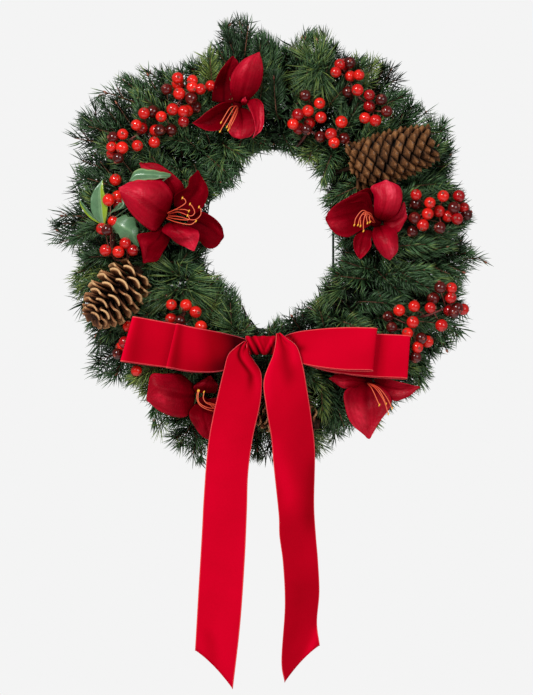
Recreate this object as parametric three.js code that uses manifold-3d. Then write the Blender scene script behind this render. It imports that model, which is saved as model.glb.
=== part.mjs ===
// A fresh evergreen wreath on a wire frame, with red blooms, berries, pine cones, holly and a ribbon bow.
//
// Millimetres, +Z up. The wreath hangs in the XZ plane and faces -Y. Everything is laid out round the
// centre of the rings, and the group is then lowered so that the origin is where the hook holds the frame.
// A place is written [x, y, z] from the centre of the rings, so a more negative y is nearer the viewer.

import * as THREE from 'three';
import { mergeVertices } from 'three/addons/utils/BufferGeometryUtils.js';
import Module from 'manifold-3d';

const wasm = await Module();
wasm.setup();

// ---------------------------------------------------------------- driving dimensions

const OUTER_RING = 200; // radius of the frame's outer ring
const INNER_RING = 122; // radius of its inner ring
const WIRE = 2; // radius of the frame's wire
const RING_SIDES = 5;
const TIES = 4; // cross ties between the rings
const STAY = { x: 86, radius: 1.5 }; // upright stay across the right of the hole
const SEAT_GAP = 0.3; // air between a piece and what carries it
const WIRE_FRONT = WIRE * Math.sin((2 * Math.PI) / RING_SIDES); // how far the faceted wire stands forward

const BOUGHS = 24;
const BACK_LIMIT = 20; // how far foliage reaches behind the frame
const FRONT_LIMIT = -90; // and in front of it
const SWIRL = THREE.MathUtils.degToRad(5) / 100; // lean of the boughs per millimetre of radius
const STEM = 2; // radius of a bough's stem
const TWIG = 1.7; // radius of a side twig
const NEEDLE = { length: 32, band: 3, pitch: 18.5, slant: 0.86 };
const HOOK_CLEAR = 6; // free width either side of the hook
const FLAT_FROM = 134; // a bough's stem lies flat on the frame from this radius
const FLAT_TO = 206; // to this one

const PETAL_THICK = 1.2;
const LEAF_THICK = 1;
const BERRY = 7.8; // berry radius
const STALK_STEPS = 8; // straight pieces in a berry spray's stalk
const BRANCH_STEPS = 4; // and in its side branch
const SCALE_RISE = 4; // how far a closed cone's scale stands up
const RIBBON = { width: 60, thick: 1.6 };

// How far the foliage reaches, as [degrees from +X, radius], round the outside and round the hole.
const OUTER_TIPS = [
  [4, 274], [17, 257], [34, 288], [54, 289], [65, 272], [76, 289], [84, 280], [96.5, 301], [102.4, 290],
  [112, 280], [127.5, 295], [139, 311], [152, 304], [164, 284], [174, 293], [181, 295], [199, 283],
  [218, 291], [236, 318], [249.5, 297], [261, 306], [270, 286], [283, 283], [291, 283], [316.5, 293],
  [329, 288], [339, 283], [354, 293],
];
const INNER_TIPS = [
  [15, 104], [34, 100], [52, 112], [68, 116], [91, 119], [110, 111], [137, 102], [150, 98],
  [195, 96], [214, 84], [229, 93], [240, 98], [262, 118], [280, 117], [305, 98], [315, 92], [335, 88],
  [350, 96],
];

const COLOURS = {
  wire: 0x1f3325,
  foliage: 0x2c5a3a,
  foliageBlue: 0x3d6a52,
  petal: 0xa50c28,
  stamen: 0xe8653a,
  stalk: 0x4e6b35,
  berry: 0xd8231a,
  cone: 0x9a6a3c,
  coneLight: 0xb98450,
  holly: 0x2f6a45,
  ribbon: 0xc4052a,
  tie: 0x2a4630,
};

// Blooms: the throat, then each petal by its half width and the middle and tip of its rib, and each
// stamen by its tip. The anchor is the ring and angle in degrees where the stalk meets the frame.
const BLOOMS = {
  top: {
    throat: [-41, -80, 172],
    anchor: [OUTER_RING, 105],
    petals: [
      [17, [-63, -78, 203], [-46, -84, 235]],
      [20, [-30, -102, 207], [-12, -98, 240]],
      [15, [-72, -104, 155], [-99, -104, 147]],
      [17, [-34, -104, 144], [-38, -106, 124]],
      [11, [-14, -100, 159], [-16, -98, 129]],
    ],
    stamens: [[-63, -117, 141], [-53, -119, 139], [-45, -121, 143], [-60, -114, 151], [-38, -121, 150]],
  },
  left: {
    throat: [-127, -82, 28],
    anchor: [OUTER_RING, 165],
    petals: [
      [28, [-161, -106, 41], [-196, -100, 62]],
      [17, [-135, -76, 73], [-165, -74, 98]],
      [17, [-96, -88, 58], [-91, -92, 86]],
      [20, [-82, -92, 13], [-60, -88, -6]],
      [17, [-114, -108, 2], [-100, -112, -20]],
      [17, [-150, -100, -8], [-162, -92, -36]],
    ],
    stamens: [[-112, -112, 49], [-102, -114, 45], [-92, -112, 40], [-104, -118, 33], [-108, -120, 26]],
  },
  right: {
    throat: [139, -82, 14],
    anchor: [OUTER_RING, 0],
    petals: [
      [27, [104, -106, 26], [74, -98, 19]],
      [20, [154, -102, 43], [153, -96, 73]],
      [17, [168, -82, 28], [183, -78, 31]],
      [17, [152, -104, -9], [158, -100, -31]],
      [12, [122, -102, -11], [115, -100, -30]],
    ],
    stamens: [[126, -118, 36], [134, -120, 38], [120, -118, 27], [126, -121, 22], [142, -120, 33]],
  },
  lowerLeft: {
    throat: [-91, -76, -222],
    anchor: [OUTER_RING, 240],
    petals: [
      [25, [-128, -92, -206], [-159, -86, -198]],
      [14, [-86, -82, -200], [-76, -78, -184]],
      [16, [-88, -92, -247], [-80, -86, -268]],
      [17, [-63, -82, -227], [-44, -76, -230]],
    ],
    stamens: [[-98, -98, -205], [-90, -98, -203], [-96, -100, -214], [-88, -98, -235]],
  },
  lowerRight: {
    throat: [128, -78, -192],
    anchor: [OUTER_RING, 300],
    petals: [
      [10, [102, -86, -190], [80, -84, -190]],
      [29, [127, -104, -225], [130, -100, -266]],
      [15, [163, -92, -200], [197, -88, -199]],
      [14, [134, -72, -168], [144, -68, -152]],
    ],
    stamens: [[146, -112, -222], [154, -110, -218], [141, -113, -228], [136, -112, -216]],
  },
};
const RECEPTACLE = { radius: 8, front: 4, back: 4 };
const STAMEN = { foot: 3.6, filament: 1, anther: 2 };

// Berry sprays: where the stalk meets the frame, the places that the stalk runs through and the berries.
const SPRAYS = {
  topLeft: {
    anchor: [OUTER_RING, 135],
    stalk: [[-150, -50, 148], [-126, -68, 168], [-106, -70, 190], [-92, -68, 198]],
    side: [[-158, -62, 142], [-180, -66, 130], [-196, -66, 118]],
    berries: [
      [-120, -82, 207], [-117, -88, 187], [-100, -87, 204], [-84, -86, 197], [-102, -90, 173],
      [-127, -86, 168], [-110, -90, 156], [-164, -86, 161], [-176, -86, 145], [-192, -84, 132],
      [-172, -86, 119], [-151, -88, 123], [-146, -88, 146], [-209, -80, 121], [-204, -74, 104],
    ],
  },
  topInner: {
    anchor: [INNER_RING, 75],
    stalk: [[45, -46, 130], [52, -66, 142], [58, -68, 156], [58, -68, 172]],
    side: [[60, -66, 136], [72, -66, 132], [86, -68, 134]],
    berries: [
      [47, -86, 184], [66, -88, 174], [48, -90, 166], [32, -86, 156], [49, -88, 143], [95, -86, 150],
      [79, -90, 138], [91, -86, 121],
    ],
  },
  topRight: {
    anchor: [OUTER_RING, 60],
    stalk: [[108, -46, 182], [110, -64, 194], [104, -62, 212]],
    side: [[118, -64, 184], [128, -66, 176], [136, -66, 166]],
    berries: [
      [93, -79, 226], [118, -80, 212], [101, -84, 205], [116, -86, 190], [133, -88, 180],
      [154, -84, 163], [120, -86, 157], [139, -86, 150],
    ],
  },
  right: {
    anchor: [OUTER_RING, 15],
    stalk: [[205, -48, 40], [222, -60, 36], [240, -56, 34]],
    side: [],
    berries: [
      [192, -84, 54], [211, -88, 46], [229, -84, 54], [249, -74, 52], [258, -60, 34], [207, -84, 26],
      [225, -80, 24], [244, -76, 18], [203, -76, 7], [238, -76, 38],
    ],
  },
  lowerRight: {
    anchor: [OUTER_RING, 330],
    stalk: [[190, -48, -104], [205, -66, -104], [226, -62, -96], [238, -58, -88]],
    side: [[192, -62, -116], [190, -64, -128], [194, -62, -142]],
    berries: [
      [224, -82, -66], [240, -74, -79], [211, -86, -90], [190, -86, -92], [171, -84, -101],
      [229, -80, -104], [244, -66, -98], [188, -86, -111], [163, -80, -120], [181, -84, -128],
      [204, -80, -136], [195, -80, -152],
    ],
  },
  left: {
    anchor: [OUTER_RING, 180],
    stalk: [[-206, -30, -12], [-206, -54, -26], [-197, -62, -31], [-186, -64, -28]],
    side: [],
    berries: [[-214, -84, -18], [-197, -87, -20], [-187, -86, -5], [-178, -84, -20], [-217, -76, 2]],
  },
  lowerLeft: {
    anchor: [INNER_RING, 225],
    stalk: [[-92, -40, -96], [-98, -60, -100], [-110, -66, -100]],
    side: [],
    berries: [[-128, -84, -89], [-110, -86, -89], [-95, -84, -98], [-116, -82, -108]],
  },
  lowerOuter: {
    anchor: [OUTER_RING, 210],
    stalk: [[-180, -30, -112], [-186, -56, -126], [-188, -62, -140]],
    side: [],
    berries: [[-189, -82, -135], [-201, -76, -149], [-183, -76, -118], [-199, -64, -163]],
  },
};

const HOLLY = {
  anchor: [OUTER_RING, 168],
  hub: [-212, -62, 20],
  leaves: [
    { half: 12, rib: [[-218, -72, 16], [-226, -80, 44], [-219, -78, 73]] },
    { half: 8, rib: [[-220, -66, 16], [-243, -72, 30], [-250, -70, 50]] },
    { half: 13, rib: [[-207, -60, 15], [-190, -69, 9], [-171, -66, -12]] },
    { half: 8, rib: [[-213, -70, 20], [-206, -78, 41], [-199, -74, 58]] },
  ],
};

const CLOSED_CONE = {
  anchor: [INNER_RING, 45],
  base: [109, -72, 86],
  end: [220, -78, 119],
  radius: 28,
  around: 8,
  rows: 8,
};
const OPEN_CONE = {
  anchor: [OUTER_RING, 195],
  base: [-171, -64, -41],
  end: [-226, -84, -105],
  radius: 30,
  scales: 25,
};
const LOW_CONE = {
  anchor: [OUTER_RING, 285],
  base: [64, -60, -246],
  end: [-15, -62, -232],
  radius: 24,
  scales: 12,
};

// The bow. A loop leaves the knot behind, turns at its far edge and comes back in front.
const KNOT = { centre: [-8, -105, -142], half: [15, 15, 12] };
const KNOT_END = 0.8; // girth of the knot's ends, as a share of its middle
const PLEATS = 8;
const TAIL_TOP = { aside: 8.5, width: 15 }; // where a tail leaves the underside of the knot
const LOOPS = {
  left_rear: { far: [-184, -97, -134], slant: -13, gap: 4.5 },
  left_front: { far: [-128, -112, -142], slant: -9, gap: 5.5 },
  right_front: { far: [138, -112, -147], slant: -5, gap: 5.5 },
  right_rear: { far: [181, -97, -157], slant: -4, gap: 4.5 },
};
const TAILS = {
  left: {
    side: -1,
    middle: [
      [-35, -107, -176], [-41, -107, -222], [-52, -104, -272], [-57, -100, -340],
      [-60, -99, -420], [-66, -98, -500], [-71, -97, -566],
    ],
    widths: [46, 58, 58, 58, 58, 57, 54],
    cut: 24,
  },
  right: {
    side: 1,
    middle: [
      [17, -108, -168], [22, -108, -200], [30, -104, -255], [34, -100, -320],
      [39, -98, -390], [43, -98, -470], [40, -97, -545],
    ],
    widths: [42, 54, 55, 54, 48, 45, 46],
    cut: 24,
  },
};

// ---------------------------------------------------------------- small helpers

const FORWARD = new THREE.Vector3(0, -1, 0);
const BACKWARD = new THREE.Vector3(0, 1, 0);
const vector = (place) => new THREE.Vector3(...place);
const radians = THREE.MathUtils.degToRad;
const lerp = THREE.MathUtils.lerp;

// A repeatable draw between 0 and 1 for a whole number.
function draw(number) {
  const wave = Math.sin(number * 12.9898 + 4.137) * 43758.5453;
  return wave - Math.floor(wave);
}

function polar(radius, angle, y) {
  return new THREE.Vector3(radius * Math.cos(angle), y, radius * Math.sin(angle));
}

// The place on a ring, just in front of its wire, where something is wired on.
function seat([ring, degrees]) {
  return polar(ring, radians(degrees), -(WIRE_FRONT + SEAT_GAP));
}

// The radius at an angle, read off a list of [degrees, radius] that goes once round.
function readTips(tips, degrees) {
  const turn = ((degrees % 360) + 360) % 360;
  for (let i = 0; i < tips.length; i += 1) {
    const [from, low] = tips[i];
    const [to, high] = tips[(i + 1) % tips.length];
    const span = (to - from + 360) % 360;
    const along = (turn - from + 360) % 360;
    if (along <= span) {
      return lerp(low, high, along / span);
    }
  }
  return tips[0][1];
}

function geometryOf(positions, triangles) {
  const geometry = new THREE.BufferGeometry();
  geometry.setAttribute('position', new THREE.Float32BufferAttribute(positions, 3));
  geometry.setIndex(triangles);
  return geometry;
}

function solidOf(geometry) {
  const bare = geometry.clone();
  bare.deleteAttribute('normal');
  bare.deleteAttribute('uv');
  const merged = mergeVertices(bare, 1e-4);
  return new wasm.Manifold(new wasm.Mesh({
    numProp: 3,
    vertProperties: new Float32Array(merged.attributes.position.array),
    triVerts: new Uint32Array(merged.index.array),
  }));
}

// One closed body out of overlapping closed ones.
function fuse(geometries) {
  let whole = solidOf(geometries[0]);
  for (const geometry of geometries.slice(1)) {
    whole = whole.add(solidOf(geometry));
  }
  if (whole.decompose().length > 1) {
    throw new Error('a fused piece came out in several bodies');
  }
  const mesh = whole.getMesh();
  return geometryOf(Array.from(mesh.vertProperties), Array.from(mesh.triVerts));
}

// A tube through rings of points, closed by a flat root and a pointed tip.
function skinRings(rings, tip) {
  const positions = [];
  const triangles = [];
  const sides = rings[0].length;
  rings.flat().forEach((point) => positions.push(point.x, point.y, point.z));
  for (let ring = 0; ring + 1 < rings.length; ring += 1) {
    for (let side = 0; side < sides; side += 1) {
      const a = ring * sides + side;
      const b = ring * sides + ((side + 1) % sides);
      triangles.push(a, b, b + sides, a, b + sides, a + sides);
    }
  }
  for (let side = 1; side + 1 < sides; side += 1) {
    triangles.push(0, side + 1, side);
  }
  const last = (rings.length - 1) * sides;
  positions.push(tip.x, tip.y, tip.z);
  for (let side = 0; side < sides; side += 1) {
    triangles.push(last + side, last + ((side + 1) % sides), rings.length * sides);
  }
  return { positions, triangles };
}

// Frames along a curve that don't turn about it, started so that `first` is the back of the stem.
function framesAlong(curve, count, first) {
  const frames = [];
  let across = first.clone();
  for (let step = 0; step <= count; step += 1) {
    const along = step / count;
    const tangent = curve.getTangentAt(along).normalize();
    across.addScaledVector(tangent, -across.dot(tangent)).normalize();
    frames.push({ point: curve.getPointAt(along), tangent, across: across.clone() });
    across = across.clone();
  }
  return frames;
}

function ringAt({ point, tangent, across }, radius, sides, twist) {
  const other = new THREE.Vector3().crossVectors(tangent, across);
  return Array.from({ length: sides }, (_, side) => {
    const angle = twist + (side / sides) * 2 * Math.PI;
    return point.clone()
      .addScaledVector(across, radius * Math.cos(angle))
      .addScaledVector(other, radius * Math.sin(angle));
  });
}

// A tapering tube along a curve. radiusAt gives the radius at a share of the length.
function tube(curve, steps, sides, radiusAt, first = BACKWARD) {
  const start = Math.abs(curve.getTangentAt(0).dot(first)) > 0.95 ? new THREE.Vector3(1, 0, 0) : first;
  const frames = framesAlong(curve, steps, start);
  const rings = frames.slice(0, -1).map((frame, step) => ringAt(frame, radiusAt(step / steps), sides, 0));
  const { positions, triangles } = skinRings(rings, frames[steps].point);
  return geometryOf(positions, triangles);
}

// A stalk from its seat on the frame to a place that it carries, leaving the frame square to it.
function stalkCurve(anchor, end, reach) {
  const foot = seat(anchor);
  return new THREE.CubicBezierCurve3(
    foot,
    foot.clone().addScaledVector(FORWARD, reach),
    end.clone().addScaledVector(BACKWARD, reach),
    end,
  );
}

// A thin blade over a grid. surface(u, v) gives its middle: u from -1 to 1 across, v from 0 to 1 along.
function blade(surface, across, along, thick) {
  const cols = across + 1;
  const rows = along + 1;
  const at = (i, j) => surface((2 * i) / across - 1, j / along);
  const faces = [[], []];
  for (let j = 0; j < rows; j += 1) {
    for (let i = 0; i < cols; i += 1) {
      const wide = at(Math.min(i + 1, across), j).sub(at(Math.max(i - 1, 0), j));
      const long = at(i, Math.min(j + 1, along)).sub(at(i, Math.max(j - 1, 0)));
      const normal = wide.cross(long).normalize().multiplyScalar(thick / 2);
      faces[0].push(at(i, j).add(normal));
      faces[1].push(at(i, j).sub(normal));
    }
  }
  const positions = faces.flat().flatMap((point) => point.toArray());
  const triangles = [];
  const back = cols * rows;
  for (let j = 0; j < along; j += 1) {
    for (let i = 0; i < across; i += 1) {
      const a = j * cols + i;
      const corners = i < across / 2
        ? [[a, a + 1, a + cols], [a + 1, a + cols + 1, a + cols]]
        : [[a, a + 1, a + cols + 1], [a, a + cols + 1, a + cols]];
      for (const [p, q, r] of corners) {
        triangles.push(p, q, r, back + p, back + r, back + q);
      }
    }
  }
  const rim = [];
  for (let i = 0; i < across; i += 1) rim.push(i);
  for (let j = 0; j < along; j += 1) rim.push(j * cols + across);
  for (let i = across; i > 0; i -= 1) rim.push(along * cols + i);
  for (let j = along; j > 0; j -= 1) rim.push(j * cols);
  rim.forEach((p, k) => {
    const q = rim[(k + 1) % rim.length];
    triangles.push(q, p, back + p, q, back + p, back + q);
  });
  return geometryOf(positions, triangles);
}

// ---------------------------------------------------------------- keeping foliage clear

const CELL = 4;

// A cloud of points that needles and twigs stay away from.
class Cloud {
  constructor() {
    this.cells = new Map();
  }

  static key(x, y, z) {
    return `${Math.floor(x / CELL)},${Math.floor(y / CELL)},${Math.floor(z / CELL)}`;
  }

  add(point) {
    const key = Cloud.key(point.x, point.y, point.z);
    if (!this.cells.has(key)) {
      this.cells.set(key, []);
    }
    this.cells.get(key).push(point.clone());
  }

  // Points all over the faces of a solid.
  addSurface(geometry, spacing = 2.4) {
    const position = geometry.attributes.position;
    const index = geometry.index.array;
    const corner = [0, 1, 2].map(() => new THREE.Vector3());
    for (let i = 0; i < index.length; i += 3) {
      corner.forEach((point, k) => point.fromBufferAttribute(position, index[i + k]));
      const [a, b, c] = corner;
      const longest = Math.max(a.distanceTo(b), b.distanceTo(c), c.distanceTo(a));
      const steps = Math.max(1, Math.ceil(longest / spacing));
      for (let u = 0; u <= steps; u += 1) {
        for (let v = 0; v <= steps - u; v += 1) {
          const point = a.clone().multiplyScalar(1 - (u + v) / steps);
          point.addScaledVector(b, u / steps).addScaledVector(c, v / steps);
          this.add(point);
        }
      }
    }
  }

  near(point, clearance) {
    for (let dx = -1; dx <= 1; dx += 1) {
      for (let dy = -1; dy <= 1; dy += 1) {
        for (let dz = -1; dz <= 1; dz += 1) {
          const key = Cloud.key(point.x + dx * CELL, point.y + dy * CELL, point.z + dz * CELL);
          const list = this.cells.get(key);
          if (list && list.some((other) => other.distanceTo(point) < clearance)) {
            return true;
          }
        }
      }
    }
    return false;
  }
}

const frameCloud = new Cloud(); // needles keep clear of the frame, which the stems lie on
const obstacles = new Cloud(); // both keep clear of everything else

// ---------------------------------------------------------------- frame

function upright(geometry) {
  return geometry.rotateX(Math.PI / 2);
}

function makeFrame() {
  const parts = [
    upright(new THREE.TorusGeometry(OUTER_RING, WIRE, RING_SIDES, 30)),
    upright(new THREE.TorusGeometry(INNER_RING, WIRE, RING_SIDES, 20)),
  ];
  for (let tie = 0; tie < TIES; tie += 1) {
    const angle = ((tie + 0.5) / TIES) * 2 * Math.PI;
    const middle = (OUTER_RING + INNER_RING) / 2;
    const rod = new THREE.CylinderGeometry(WIRE * 0.8, WIRE * 0.8, OUTER_RING - INNER_RING, 4);
    rod.rotateZ(angle - Math.PI / 2).translate(middle * Math.cos(angle), middle * Math.sin(angle), 0);
    parts.push(upright(rod));
  }
  const length = 2 * Math.sqrt(INNER_RING ** 2 - STAY.x ** 2);
  const stay = new THREE.CylinderGeometry(STAY.radius, STAY.radius, length, 4);
  parts.push(upright(stay.translate(STAY.x, 0, 0)));
  return fuse(parts);
}

// ---------------------------------------------------------------- blooms

function petalWidth(v) {
  return Math.sin(Math.PI * (0.06 + 0.92 * v ** 0.75));
}

// The middle face of a petal: a rib through its root, middle and tip, with both sides folded back from it.
function petalSurface(root, middle, tip, half, fold) {
  const handle = middle.clone().multiplyScalar(2).addScaledVector(root, -0.5).addScaledVector(tip, -0.5);
  const rib = new THREE.QuadraticBezierCurve3(root, handle, tip);
  return (u, v) => {
    const tangent = rib.getTangent(v).normalize();
    const side = new THREE.Vector3().crossVectors(FORWARD, tangent).normalize();
    const face = new THREE.Vector3().crossVectors(tangent, side).normalize();
    const width = half * petalWidth(v);
    return rib.getPoint(v).addScaledVector(side, u * width).addScaledVector(face, -fold * width * u * u);
  };
}

function makePetals({ throat, petals }) {
  const centre = vector(throat);
  const depth = RECEPTACLE.front + RECEPTACLE.back;
  const cup = new THREE.CylinderGeometry(RECEPTACLE.radius * 0.8, RECEPTACLE.radius, depth, 6);
  cup.translate(centre.x, centre.y, centre.z);
  const blades = petals.map(([half, middle, tip], index) => {
    const out = vector(middle).sub(centre).setY(0).normalize();
    const root = centre.clone().addScaledVector(out, RECEPTACLE.radius - 3).addScaledVector(BACKWARD, 1.5);
    const fold = 0.3 + 0.1 * draw(index);
    return blade(petalSurface(root, vector(middle), vector(tip), half, fold), 2, 4, PETAL_THICK);
  });
  return fuse([cup, ...blades]);
}

function makeStamens({ throat, stamens }) {
  const foot = vector(throat).add(new THREE.Vector3(0, -(RECEPTACLE.front + SEAT_GAP), 0));
  const disc = new THREE.CylinderGeometry(STAMEN.foot, STAMEN.foot, 3, 4);
  disc.translate(foot.x, foot.y - 1.5, foot.z);
  const threads = stamens.map((tip, index) => {
    const end = vector(tip);
    const aside = end.clone().sub(foot).setY(0).setLength(STAMEN.foot * 0.6);
    const start = foot.clone().add(aside).add(new THREE.Vector3(0, -1.5, 0));
    const bend = start.clone().lerp(end, 0.35).setY(end.y - 2 - 2 * draw(index + 5));
    const curve = new THREE.QuadraticBezierCurve3(start, bend, end);
    const anther = (along) => (along > 0.7 ? STAMEN.anther : STAMEN.filament);
    return tube(curve, 4, 3, anther);
  });
  return fuse([disc, ...threads]);
}

// The green stalk behind a bloom: a small calyx against the receptacle and a stem back to the frame.
function makeBloomStalk({ throat, anchor }) {
  const end = vector(throat).add(new THREE.Vector3(0, RECEPTACLE.back + SEAT_GAP, 0));
  const stem = tube(stalkCurve(anchor, end.clone().add(new THREE.Vector3(0, 2, 0)), 26), 5, 4, () => 2.4);
  const calyx = new THREE.CylinderGeometry(2.4, 6, 9, 6);
  calyx.translate(end.x, end.y + 4.5, end.z);
  return fuse([stem, calyx]);
}

// ---------------------------------------------------------------- berries

// Places on the straight chords of a tube with this many steps, five to a chord.
function chordPoints(curve, steps) {
  const ends = curve.getSpacedPoints(steps);
  const shares = [0.2, 0.4, 0.6, 0.8, 1];
  return ends.slice(1).flatMap((end, k) => shares.map((share) => ends[k].clone().lerp(end, share)));
}

function nearest(points, place) {
  return points.reduce((best, point) => (point.distanceTo(place) < best.distanceTo(place) ? point : best));
}

// A berry whose face towards its joint is drawn out into a thin stalk that ends inside the joint.
function berryOnStalk(centre, joint) {
  const bare = new THREE.IcosahedronGeometry(BERRY, 0).deleteAttribute('normal').deleteAttribute('uv');
  const ball = mergeVertices(bare, 1e-3);
  const toward = joint.clone().sub(centre).normalize();
  const faceMiddle = new THREE.Vector3(1, 1, 1).normalize();
  const index = Array.from(ball.index.array);
  const position = ball.attributes.position;
  const corners = Array.from({ length: 12 }, (_, k) => new THREE.Vector3().fromBufferAttribute(position, k));
  const facing = (t) => index.slice(t, t + 3).reduce((sum, k) => sum + corners[k].dot(faceMiddle), 0);
  const faces = Array.from({ length: index.length / 3 }, (_, t) => t * 3);
  const open = faces.reduce((best, t) => (facing(t) > facing(best) ? t : best));
  const [a, b, c] = index.splice(open, 3);
  const turn = new THREE.Quaternion().setFromUnitVectors(
    corners[a].clone().add(corners[b]).add(corners[c]).normalize(),
    toward,
  );
  const points = corners.map((corner) => corner.applyQuaternion(turn).add(centre));
  const end = joint.clone().addScaledVector(toward, 0.4);
  const foot = [a, b, c].map((k) => {
    const out = points[k].clone().sub(centre);
    out.addScaledVector(toward, -out.dot(toward)).setLength(1.2);
    return points.push(end.clone().add(out)) - 1;
  });
  [a, b, c].forEach((k, side) => {
    const next = (side + 1) % 3;
    const [p, q] = [k, [a, b, c][next]];
    index.push(p, q, foot[next], p, foot[next], foot[side]);
  });
  index.push(foot[0], foot[1], foot[2]);
  return geometryOf(points.flatMap((point) => point.toArray()), index);
}

function makeSpray({ anchor, stalk, side, berries }) {
  const foot = seat(anchor);
  const lift = foot.clone().addScaledVector(FORWARD, 12);
  const main = new THREE.CatmullRomCurve3([foot, lift, ...stalk.map(vector)]);
  const parts = [tube(main, STALK_STEPS, 4, (along) => lerp(2.6, 1.6, along), new THREE.Vector3(1, 0, 0))];
  const joints = chordPoints(main, STALK_STEPS).slice(16, -2);
  if (side.length) {
    const fork = nearest(joints, vector(side[0]));
    const branch = new THREE.CatmullRomCurve3([fork, ...side.map(vector)]);
    parts.push(tube(branch, BRANCH_STEPS, 3, (along) => lerp(2.4, 1.7, along)));
    joints.push(...chordPoints(branch, BRANCH_STEPS).slice(1, -2));
  }
  for (const place of berries) {
    const centre = vector(place);
    const joint = nearest(joints, centre);
    joints.splice(joints.indexOf(joint), 1);
    parts.push(berryOnStalk(centre, joint));
  }
  return fuse(parts);
}

// ---------------------------------------------------------------- cones

function coneAxis({ base, end }) {
  const from = vector(base);
  const along = vector(end).sub(from);
  const length = along.length();
  along.normalize();
  const side = new THREE.Vector3().crossVectors(FORWARD, along).normalize();
  const front = new THREE.Vector3().crossVectors(along, side).normalize();
  return { from, along, length, side, front };
}

function aroundAxis({ from, along, length, side, front }, share, angle, radius) {
  return from.clone()
    .addScaledVector(along, length * share)
    .addScaledVector(side, radius * Math.cos(angle))
    .addScaledVector(front, radius * Math.sin(angle));
}

function coneStalk(anchor, axis) {
  const foot = seat(anchor);
  const inside = aroundAxis(axis, 0.12, 0, 0);
  const curve = new THREE.QuadraticBezierCurve3(foot, foot.clone().addScaledVector(FORWARD, 36), inside);
  return tube(curve, 4, 4, () => 3.2);
}

// A ripe closed cone: its whole surface is a lattice of rhombic scales, each raised to a blunt boss.
function makeClosedCone({ base, end, radius, around, rows, anchor }) {
  const axis = coneAxis({ base, end });
  const profile = (share) => radius * Math.sin(Math.PI * (0.2 + 0.62 * share)) ** 0.8;
  const positions = [];
  const triangles = [];
  const add = (row, turn, lift) => {
    const share = row / rows;
    const point = aroundAxis(axis, share, (turn / around) * 2 * Math.PI, profile(share) + lift);
    positions.push(...point.toArray());
    return positions.length / 3 - 1;
  };
  const lattice = [];
  for (let row = 0; row <= rows; row += 1) {
    lattice.push(Array.from({ length: around }, (_, i) => add(row, i + (row % 2) / 2, 0)));
  }
  for (let row = 1; row < rows; row += 1) {
    const odd = row % 2;
    for (let i = 0; i < around; i += 1) {
      const turn = i + (1 - odd) / 2;
      const left = lattice[row][odd ? (i + around - 1) % around : i];
      const right = lattice[row][odd ? i : (i + 1) % around];
      const edge = [lattice[row - 1][i], right, lattice[row + 1][i], left];
      const shelf = [[0, -0.6], [0.3, 0.1], [0, 0.7], [-0.3, 0.1]]
        .map(([aside, up]) => add(row + up, turn + aside, SCALE_RISE));
      const boss = add(row + 0.15, turn, SCALE_RISE * 1.5);
      edge.forEach((corner, k) => {
        const next = (k + 1) % 4;
        triangles.push(corner, edge[next], shelf[next], corner, shelf[next], shelf[k]);
        triangles.push(shelf[k], shelf[next], boss);
      });
    }
  }
  const lowPole = add(-0.4, 0, -profile(-0.4 / rows));
  const highPole = add(rows + 0.3, 0, -profile(1 + 0.3 / rows));
  const shift = rows % 2;
  for (let i = 0; i < around; i += 1) {
    const next = (i + 1) % around;
    triangles.push(lattice[0][i], lattice[0][next], lattice[1][i]);
    triangles.push(lattice[0][next], lattice[0][i], lowPole);
    triangles.push(lattice[rows][i], lattice[rows - 1][(i + shift) % around], lattice[rows][next]);
    triangles.push(lattice[rows][i], lattice[rows][next], highPole);
  }
  return fuse([geometryOf(positions, triangles), coneStalk(anchor, axis)]);
}

// One woody scale of an open cone, from the core out to a thick lip.
function coneScale(axis, share, angle, reach, width) {
  const root = aroundAxis(axis, share, angle, 3 * (1 - share));
  const out = aroundAxis(axis, share, angle, 10).sub(aroundAxis(axis, share, angle, 0)).normalize();
  const dir = out.clone().multiplyScalar(0.86).addScaledVector(axis.along, 0.5).normalize();
  const wide = new THREE.Vector3().crossVectors(axis.along, out).normalize();
  const thick = new THREE.Vector3().crossVectors(dir, wide).normalize();
  const square = [[-1, -1], [1, -1], [1, 1], [-1, 1]];
  const ring = (distance, halfWidth, halfThick) => square.map(([w, t]) => root.clone()
    .addScaledVector(dir, distance)
    .addScaledVector(wide, w * halfWidth)
    .addScaledVector(thick, t * halfThick));
  const rings = [ring(0, 2.2, 1), ring(reach, width * 0.45, 1.7)];
  const { positions, triangles } = skinRings(rings, root.clone().addScaledVector(dir, reach + 2.5));
  return geometryOf(positions, triangles);
}

function makeOpenCone({ base, end, radius, scales, anchor }) {
  const axis = coneAxis({ base, end });
  const core = new THREE.LineCurve3(aroundAxis(axis, -0.04, 0, 0), aroundAxis(axis, 1.08, 0, 0));
  const parts = [tube(core, 4, 6, (along) => 7 - 3 * along)];
  for (let scale = 0; scale < scales; scale += 1) {
    const share = 0.06 + 0.88 * (scale / (scales - 1));
    const swell = Math.sin(Math.PI * (0.2 + 0.68 * share));
    parts.push(coneScale(axis, share, scale * 2.39996, (radius - 3) * swell, 22 * (0.35 + 0.65 * swell)));
  }
  parts.push(coneStalk(anchor, axis));
  return fuse(parts);
}

// ---------------------------------------------------------------- holly

// A holly leaf: the edge swings out to spines between shallow bays.
function hollyWidth(v, spines) {
  const outline = Math.sin(Math.PI * (0.06 + 0.9 * v));
  return outline * (Math.round(v * spines * 2) % 2 ? 1 : 0.6);
}

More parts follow.
